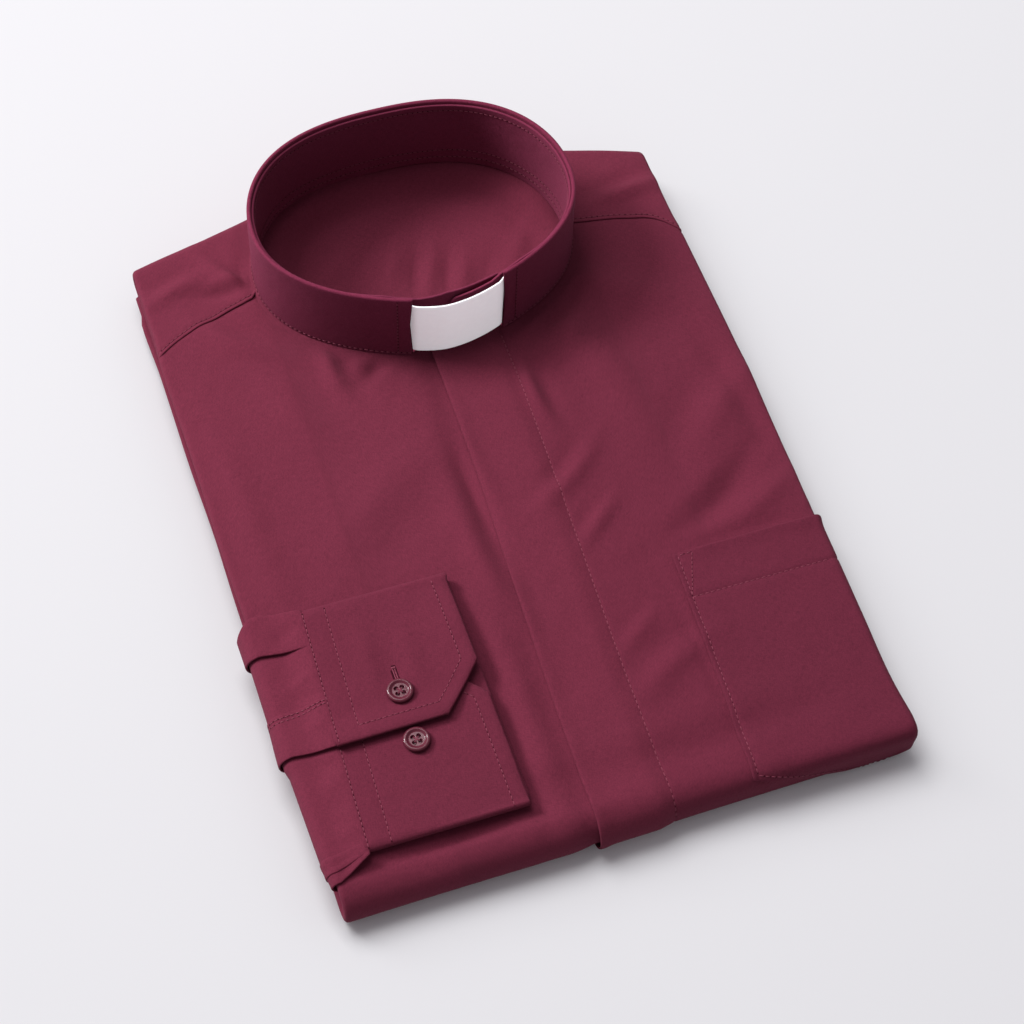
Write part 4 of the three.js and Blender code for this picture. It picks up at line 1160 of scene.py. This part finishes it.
cuff = {
    "topY": -38.0, "bottomY": -154.5, "outerX": -42.0, "flapEndY": -106.0, "underlapEndY": -79.0,
    "mitreAcross": 19.0, "mitreAlong": 21.0, "thickness": 1.8, "puff": 1.8,
    "edgeStitch": 6.0, "seamStitch": 0.8, "bandStitch": 10.5, "flapEdgeRise": 1.5, "underlapEdgeRise": 0.9,
    "puffFromY": -91, "puffLength": 14,
}


def cuffSeamX(y):
    return -106 + (y - cuff["topY"]) * (-5) / (cuff["bottomY"] - cuff["topY"])


# The flap bulges up towards its end, where the underlap lies below it
def puffAt(y, part):
    return cuff["puff"] * soften((cuff["puffFromY"] - y) / cuff["puffLength"]) if part == "flap" else 0.0


def cuffRun():
    t = cuff["thickness"]
    backZ = body["height"] + 0.3
    underlapZ = backZ + 2 * t + 0.3
    flapZ = underlapZ + t + 0.3
    topR = (flapZ - backZ) / 2
    lowR = (underlapZ - backZ) / 2
    topY = cuff["topY"] - topR
    lowY = cuff["bottomY"] + lowR
    right = cuff["outerX"]
    run = []
    for y in np.linspace(cuff["flapEndY"], topY, 40)[:-1]:
        cut = max(0.0, (cuff["flapEndY"] + cuff["mitreAlong"] - y) / cuff["mitreAlong"])
        run.append((y, flapZ + puffAt(y, "flap"), right - cut * cuff["mitreAcross"], "flap"))
    for a in np.linspace(0, math.pi, 12)[:-1]:
        run.append((topY + topR * math.sin(a), backZ + topR * (1 + math.cos(a)), right + 0.5, "fold"))
    for y in np.linspace(topY, lowY, 30)[:-1]:
        run.append((y, backZ, right + 1.0, "back"))
    for a in np.linspace(0, math.pi, 12)[:-1]:
        run.append((lowY - lowR * math.sin(a), backZ + lowR * (1 - math.cos(a)), right + 0.2, "fold"))
    for y in np.linspace(lowY, cuff["underlapEndY"], 36):
        cut = max(0.0, (y - cuff["underlapEndY"] + cuff["mitreAlong"]) / cuff["mitreAlong"])
        run.append((y, underlapZ, right - cut * cuff["mitreAcross"], "underlap"))
    return run, flapZ, underlapZ


cuffPath, flapZ, underlapZ = cuffRun()

# Sleeve end: overlapping folds that wrap round the side

sleeve = {"thickness": 2.0, "radius": 5.65, "tuckX": -121.5}

# Each fold of the sleeve end: name, then y of its upper edge at the side and at the seam, of its
# lower edge the same, how far the upper and lower edges stand off, layer thickness, cut corner
sleeveFolds = [
    ("lower", -97.0, -99.0, -158.0, -154.4, -0.6, -0.5, 1.0, 0.0),
    ("middle", -49.0, -51.0, -100.5, -103.0, -0.3, 0.0, 1.0, 0.0),
    ("upper", -34.0, -38.6, -53.5, -56.4, 1.6, 1.5, 1.0, 6.5),
    ("foot", -151.8, -150.4, -162.6, -155.8, -0.1, -1.5, 0.9, 0.0),
]
sleeveNarrow = [(-164, 2.8), (-111, 1.2), (-107, 0.1), (-35, 0)]


def sleeveLoop(y, lift, lastTurn, tuck):
    radius = sleeve["radius"] + lift
    centreX = body["leftX"] + 1.4 + readRows(sleeveNarrow, y)
    centreZ = body["height"] + 0.3 + sleeve["thickness"] - sleeve["radius"]
    flat = np.linspace(cuffSeamX(y) + 0.6, centreX, 12)[:-1]
    turn = np.radians(np.linspace(0, lastTurn, 18))
    x = np.concatenate([flat, centreX - radius * np.sin(turn)])
    z = np.concatenate([0 * flat + centreZ + radius, centreZ + radius * np.cos(turn)])
    if tuck:
        tail = np.linspace(centreX, sleeve["tuckX"], 4)[1:]
        x = np.concatenate([x, tail])
        z = np.concatenate([z, 0 * tail + centreZ - radius])
    return x, z


# Small pulls where the sleeve is gathered into the cuff: x, y, turn, half length, half width, height
cuffPulls = [
    (-112, -46, 28, 12, 3.2, -0.7), (-112, -70, 20, 9, 2.2, 0.7), (-112, -79, -12, 8, 2.0, -0.6),
    (-112, -93, 8, 8, 2.4, 0.45), (-112, -112, -8, 9, 2.8, -0.6), (-112, -120, 14, 10, 3.0, 0.55),
    (-112, -131, -10, 9, 2.6, -0.5), (-112, -143, 12, 11, 3.0, 0.5),
]


def sleeveGrid(edges, lifts, seamZ, cutCorner=0.0, lastTurn=180.0, tuck=True, rows=None):
    upperSide, upperSeam, lowerSide, lowerSeam = edges
    count = rows or max(int(abs(upperSide - lowerSide) / 1.4), 8)
    grid = []
    for share in np.linspace(0, 1, count):
        ySide = upperSide + (lowerSide - upperSide) * share
        ySeam = upperSeam + (lowerSeam - upperSeam) * share
        lift = lifts[0] + (lifts[1] - lifts[0]) * float(soften(share))
        x, z = sleeveLoop(ySeam, lift, lastTurn, tuck)
        way = np.arange(len(x)) / 11
        slant = np.clip(1 - way, 0, 1)
        y = ySide + (ySeam - ySide) * slant
        y = y - cutCorner * soften(way - 0.75) * (1 - share) ** 2
        nearSeam = soften(1 - (x[0] - x) / 13.0) * (way <= 1)
        z = z + (seamZ - z[0]) * nearSeam
        pull = addRidges(0.2 * waver(x, y, 7, 21), x, y, cuffPulls)
        z = z + pull * soften((11 - np.arange(len(x))) / 6) * (1 - nearSeam ** 4)
        grid.append(np.stack([x, y, z], -1))
    return np.array(grid)


def makeSleeve():
    made = []
    for name, a, b, c, d, upperLift, lowerLift, thickness, cutCorner in sleeveFolds:
        seamZ = underlapZ if name in ("lower", "foot") else flapZ
        grid = sleeveGrid((a, b, c, d), (upperLift, lowerLift), seamZ - 0.12, cutCorner)
        made.append(settle(clothSheet("shirt_sleeve_" + name, grid, thickness), clothOut, "shirt_cloth"))
    return made


sleevePieces = makeSleeve()
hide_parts("sleeve_right")


def makeBinding():
    grid = sleeveGrid((-83.2, -82.4, -103.5, -105.6), (0.35, 1.2), flapZ - 0.02, 0, 172.0, False)
    made = clothSheet("shirt_sleeve_binding", grid, 0.85)
    for side, seam in ((-84.6, -83.6), (-86.4, -85.0)):
        edges = (side, seam, side - 0.1, seam - 0.1)
        line = sleeveGrid(edges, (0.37, 0.37), flapZ, 0, 80.0, False, rows=2)[0]
        turn = np.radians(np.concatenate([np.zeros(11), np.linspace(0, 80, 18)]))
        normal = np.stack([-np.sin(turn), 0 * turn, np.cos(turn)], -1)
        sewLine(line, normal, pitch=2.3, length=1.7)
    return made


bindingPiece = settle(makeBinding(), clothOut, "shirt_cloth", "sleeve_placket")
takeStitches("shirt_sleeve_stitching")
print("sleeve folded")


# Soft dents of the flap: x, y, turn, half width, half length, height
flapDents = [(-85, -66, 0, 5, 16, 0.9), (-68, -74, 0, 5, 13, 0.9), (-77, -80, 0, 7, 10, -0.9)]


def cuffSoft(x, y, part):
    if part == "back":
        return 0 * x
    fromSeam = x - cuffSeamX(y)
    stitched = -0.22 * np.exp(-((fromSeam - cuff["bandStitch"]) / 0.7) ** 2)
    soft = 0.34 * waver(x, y, 14, 31 if part == "flap" else 33)
    if part == "flap":
        soft = addRidges(soft, x, y, flapDents)
    height = cuff["flapEdgeRise"] if part == "flap" else cuff["underlapEdgeRise"]
    fromFold = cuff["topY"] - y if part == "flap" else y - cuff["bottomY"]
    edge = np.exp(-((x - cuff["outerX"]) / 12) ** 2)
    return stitched + (soft + height * edge * soften((fromFold - 4) / 25))


def cuffHeight(x, y, part):
    return (flapZ if part == "flap" else underlapZ) + cuffSoft(x, y, part) + puffAt(y, part)


def makeCuff():
    grid = []
    for y, z, right, part in cuffPath:
        left = cuffSeamX(y) + 0.15
        near = left + np.array([0, 0.4, 0.8, 1.2, 1.8, 4, 6.5, 8.6, 9.8, 10.5, 11.2, 12.4])
        x = np.concatenate([near, np.linspace(left + 14.5, right, 28)])
        rim = -0.25 * np.exp(-((right - x) / 1.0) ** 2)
        seam = -0.16 * np.exp(-((x - left - cuff["seamStitch"]) / 0.4) ** 2)
        shown = 1 if part in ("flap", "underlap") else 0
        grid.append(np.stack([x, 0 * x + y, z + (cuffSoft(x, y, part) + rim + seam) * shown], -1))
    made = clothSheet("shirt_cuff", np.array(grid), cuff["thickness"])
    right = cuff["outerX"]
    sew = cuff["edgeStitch"]
    flapRow = cuff["flapEndY"] + sew
    topRow = cuff["topY"] - 3
    lowRow = cuff["bottomY"] + 1
    for part, offset, first, last, sink in (
        ("flap", cuff["seamStitch"], cuff["flapEndY"], topRow, 0.12),
        ("flap", cuff["bandStitch"], flapRow, topRow, 0),
        ("underlap", cuff["seamStitch"], cuff["flapEndY"] + 2, lowRow, 0.12),
        ("underlap", cuff["bandStitch"], cuff["flapEndY"] + 2, lowRow, 0),
    ):
        y = np.linspace(first, last, 60)
        x = cuffSeamX(y) + 0.15 + offset
        path = np.stack([x, y, cuffHeight(x, y, part) + 0.02 - sink], -1)
        sewLine(path, upNormals(y), pitch=2.4, length=1.75)
    flapCorners = [
        (cuffSeamX(-100) + cuff["bandStitch"], flapRow),
        (right - cuff["mitreAcross"] - sew * 0.35, flapRow),
        (right - sew, cuff["flapEndY"] + cuff["mitreAlong"] + sew * 0.35),
        (right - sew, topRow),
    ]
    lowCorners = [(right - sew - 8.0, -92.5), (right - sew, -101.0), (right - sew, lowRow)]
    sewCorners(flapCorners, 30, lambda x, y: cuffHeight(x, y, "flap"))
    sewCorners(lowCorners, 40, lambda x, y: cuffHeight(x, y, "underlap"))
    return made


# The cuff takes the darker copy of the cloth: painted shade
cuffPiece = settle(makeCuff(), clothShadedLeft, "shirt_cloth", "cuff")
takeStitches("shirt_cuff_stitching")

# Buttonhole: two close rows of cross stitches round a slit
hole = {"x": -76.2, "top": -78.6, "bottom": -86.0, "half": 0.45}


def makeButtonhole():
    for side in (-1, 1):
        for y in np.arange(hole["top"], hole["bottom"], -0.42):
            z = flapZ + cuffSoft(hole["x"], y, "flap") + 0.12
            near = (hole["x"] + side * 0.12, y, z)
            far = (hole["x"] + side * (hole["half"] + 0.35), y - 0.1, z)
            addStitch(near, far, 0.62, -0.1)
    for x in hole["x"] + np.linspace(-0.6, 0.6, 4):
        addStitch((x, hole["top"] + 0.2, flapZ + 0.1), (x, hole["top"] + 1.3, flapZ + 0.1), 0.5, 0.05)
    takeStitches("shirt_buttonhole")


makeButtonhole()
print("cuff sewn")

# Buttons: a rounded rim round a dished middle, with four holes

button = {
    "radius": 5.75, "rimRadius": 4.75, "dish": 0.75, "holeRadius": 0.82, "holeApart": 1.3, "holeDepth": 1.5,
    "foot": [(5.75, 0.9), (5.5, 0.35), (4.85, 0), (0.12, 0)], "rings": 46, "spokes": 96,
}


def buttonTop(x, y, thickness):
    away = np.hypot(x, y)
    outside = np.clip((away - button["rimRadius"]) / (button["radius"] - button["rimRadius"]), 0, 1)
    rim = 0.9 * (np.sqrt(1 - (0.995 * outside) ** 2) - 1)
    dish = -button["dish"] * soften((button["rimRadius"] - 0.1 - away) / 1.35)
    top = thickness + rim + dish
    for sx in (-1, 1):
        for sy in (-1, 1):
            apart = np.hypot(x - sx * button["holeApart"], y - sy * button["holeApart"])
            top = top - button["holeDepth"] * soften((button["holeRadius"] + 0.16 - apart) / 0.32)
    return np.maximum(top, 0.12)


def makeButton(name, node):
    low, high = (np.array(corner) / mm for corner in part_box(node))
    centre = (low + high) / 2 - np.array([layoutShift[0], layoutShift[1], 0])
    rimShare = 1 - np.sin(np.linspace(0.1, math.pi / 2, 10))
    rim = button["radius"] + (button["rimRadius"] - button["radius"]) * rimShare
    radii = np.concatenate([np.linspace(0.12, button["rimRadius"], button["rings"]), rim])
    turn = np.linspace(0, 2 * math.pi, button["spokes"], endpoint=False)
    x = radii[:, None] * np.cos(turn)
    y = radii[:, None] * np.sin(turn)
    top = np.stack([x, y, buttonTop(x, y, high[2] - low[2])], -1)
    foot = [
        np.stack([radius * np.cos(turn), radius * np.sin(turn), 0 * turn + z], -1)
        for radius, z in button["foot"]
    ]
    rings = np.concatenate([top, np.array(foot)])
    count, spokes = rings.shape[:2]
    ids = np.arange(count * spokes).reshape(count, spokes)
    after = np.roll(ids, -1, axis=1)
    walls = np.stack([ids[:-1], ids[1:], after[1:], after[:-1]], -1).reshape(-1, 4)
    faces = [tuple(face) for face in walls] + [tuple(ids[0]), tuple(ids[-1][::-1])]
    vertices = rings.reshape(-1, 3) + np.array([centre[0], centre[1], low[2]])
    return settle(meshObject(name, vertices, faces), buttonFinish, "cuff_button", node)


# Thread crossed through the four holes, twice each way
def threadCross(name, x, y, z):
    spread = button["holeApart"] + 0.1
    for ax, ay, bx, by in ((-1, -1, 1, 1), (-1, 1, 1, -1)):
        for nudge in (-0.14, 0.14):
            a = (x + ax * spread + nudge * ay, y + ay * spread - nudge * ax, z)
            b = (x + bx * spread + nudge * ay, y + by * spread - nudge * ax, z)
            addStitch(a, b, 0.3, 0.0)
    takeStitches(name)


for name, node in (("shirt_button_upper", "button_upper"), ("shirt_button_lower", "button_lower")):
    makeButton(name, node)
    low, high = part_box(node)
    centre = [(low[k] + high[k]) / 2 / mm - layoutShift[k] for k in range(2)]
    threadCross(name + "_thread", centre[0], centre[1], high[2] / mm - 0.8)
print("buttons sewn on")

# Hidden layers: stacked folds of cloth that show only at their edges

# Each layer: name, lower y, upper y, z, half thickness, reach past the left edge, past the right edge
stackLayers = [
    ("tail", -160.0, 189.0, 5.4, 1.15, -1.6, -2.6),
    ("back", -158.0, 191.0, 9.0, 1.5, 0.3, 0.6),
    ("side", -160.0, 62.0, 13.0, 1.3, -1.8, -2.2),
    ("far_sleeve", -162.0, 60.0, 15.5, 1.0, -9.0, -6.0),
]


# Half of the shoulder edge, read as x at a given y
def shoulderX(y, side):
    return readRows(sorted((rowY, rowX) for rowX, rowY in shoulderEdge if rowX * side >= 0), y)


def makeLayer(name, lowY, highY, z, half, reachLeft, reachRight):
    ends = np.array([0, 0.4, 1.2, 2.6])
    ys = np.concatenate([lowY + ends, np.arange(lowY + 5, highY - 5, 5.0), highY - ends[::-1]])
    turn = np.radians(np.linspace(-90, 90, 9))
    vertices = []
    for y in ys:
        edge = min(y - lowY, highY - y)
        thin = half * math.sqrt(max(1 - (1 - min(edge / 2.6, 1)) ** 2, 0.01))
        corner = 3.0 * math.exp(-edge / 2.5) - (1.3 * soften((y - 112) / 34) if name == "back" else 0)
        left = body["leftX"] - reachLeft + readCurve(sideTaper, y, 1) + corner
        right = body["rightX"] + reachRight - readCurve(sideTaper, y, 2) - corner
        if y > 150:
            left = max(left, shoulderX(y + 4.5, -1))
            right = min(right, shoulderX(y + 4.5, 1))
        left += 0.5 * waver(y, z, 15, 41)
        right += 0.5 * waver(y, z, 17, 43)
        if name in ("side", "far_sleeve") and -168 < y < -26:
            left = max(left, -118.0)
        dip = neckDip(0.4, y) if y > 66 and name == "back" else 0.0
        ringRight = [(right - thin + thin * math.cos(a), z + thin * math.sin(a)) for a in turn]
        ringLeft = [(left + thin - thin * math.cos(a), z + thin * math.sin(a)) for a in turn[::-1]]
        for x, zz in ringRight + ringLeft:
            vertices.append((x, y, zz - dip * 0.9))
    faces = ringFaces(len(ys), 2 * len(turn))
    uvs = [(v[1], v[0] + v[2]) for v in vertices]
    return meshObject("shirt_layer_" + name, vertices, faces, uvs)


layerPieces = [settle(makeLayer(*row), clothOut, "shirt_cloth") for row in stackLayers]
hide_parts("folded_layers")
print("hidden layers stacked")

# Floor, lights and camera

studio = {
    "sky": (0.97, 0.96, 1.0, 1),
    "skyStrength": 0.325,
    "floorHalf": 4.0,
    "floorZ": -0.0002,
}
floorLook = {
    "view": (0.85, 0.84, 0.865, 1),
    "noise": {"Scale": 3.0, "Detail": 2.0},
    "dark": (0.83725, 0.8274, 0.852025, 1),
    "light": (0.85, 0.84, 0.865, 1),
    "surface": {"Roughness": 0.9, "Specular IOR Level": 0.1},
}

# Lamps: name, place, aim, size, power
lamps = [
    ("top", (-0.50, 0.95, 2.40), (0, 0, 0), 1.7, 53.0),
    ("key", (-1.60, 1.75, 1.55), (0, 0, 0), 1.1, 11.0),
    ("side", (-1.17, 0.88, 1.22), (0, 0, 0), 0.5, 40.0),
    ("kicker", (0.25, -1.10, 0.55), (0, 0.06, 0.03), 0.5, 8.5),
]


def makeFloor():
    half = studio["floorHalf"]
    square = ((-half, -half), (half, -half), (half, half), (-half, half))
    corners = [(x, y, studio["floorZ"]) for x, y in square]
    mesh = bpy.data.meshes.new("studio_floor")
    mesh.from_pydata(corners, [], [(0, 1, 2, 3)])
    mesh.materials.append(noiseMaterial("studio_paper", floorLook))
    linkObject("studio_floor", mesh)


def addLamp(name, place, aim, size, power):
    data = bpy.data.lights.new(name, "AREA")
    data.shape = "RECTANGLE"
    data.size = size
    data.size_y = size
    data.energy = power
    lamp = linkObject(name, data)
    lamp.location = place
    lamp.rotation_euler = (Vector(aim) - Vector(place)).to_track_quat("-Z", "Y").to_euler()
    return lamp


def lightOnly(lamp, name, things):
    group = bpy.data.collections.new(name)
    for thing in things:
        group.objects.link(thing)
    lamp.light_linking.receiver_collection = group


def makeStudio():
    scene = bpy.context.scene
    scene.world = bpy.data.worlds.new("studio_sky")
    scene.world.use_nodes = True
    sky = scene.world.node_tree.nodes["Background"]
    setInputs(sky, {"Color": studio["sky"], "Strength": studio["skyStrength"]})
    scene.view_settings.view_transform = "Standard"
    scene.view_settings.look = "None"
    made = {row[0]: addLamp(*row) for row in lamps}
    cloths = [thing for thing in scene.objects if thing.type == "MESH" and thing.name != "studio_floor"]
    lightOnly(made["side"], "lit_by_side", cloths)  # models the cloth and leaves the floor alone
    lightOnly(made["kicker"], "lit_by_kicker", [insertPiece])  # lifts the white insert alone


# Camera, in degrees and millimetres of the shirt's layout
view = {
    "azimuth": -20.63, "elevation": 56.34, "roll": -2.31, "lens": 90.44, "distance": 1157.2,
    "target": (3.03, -1.16, 0.0),
}


def makeCamera():
    azimuth, elevation, roll = (math.radians(view[key]) for key in ("azimuth", "elevation", "roll"))
    level = math.cos(elevation)
    back = Vector((math.sin(azimuth) * level, -math.cos(azimuth) * level, math.sin(elevation)))
    right = Vector((math.cos(azimuth), math.sin(azimuth), 0))
    up = back.cross(right)
    across = right * math.cos(roll) - up * math.sin(roll)
    along = right * math.sin(roll) + up * math.cos(roll)
    target = Vector((view["target"][0] + layoutShift[0], view["target"][1] + layoutShift[1], 0)) * mm
    data = bpy.data.cameras.new("camera")
    data.lens = view["lens"]
    data.sensor_width = 36
    data.clip_end = 50
    camera = linkObject("camera", data)
    turn = Matrix((across, along, back)).transposed()
    camera.matrix_world = Matrix.Translation(target + back * view["distance"] * mm) @ turn.to_4x4()
    bpy.context.scene.camera = camera


makeFloor()
makeStudio()
makeCamera()
print("studio lit")
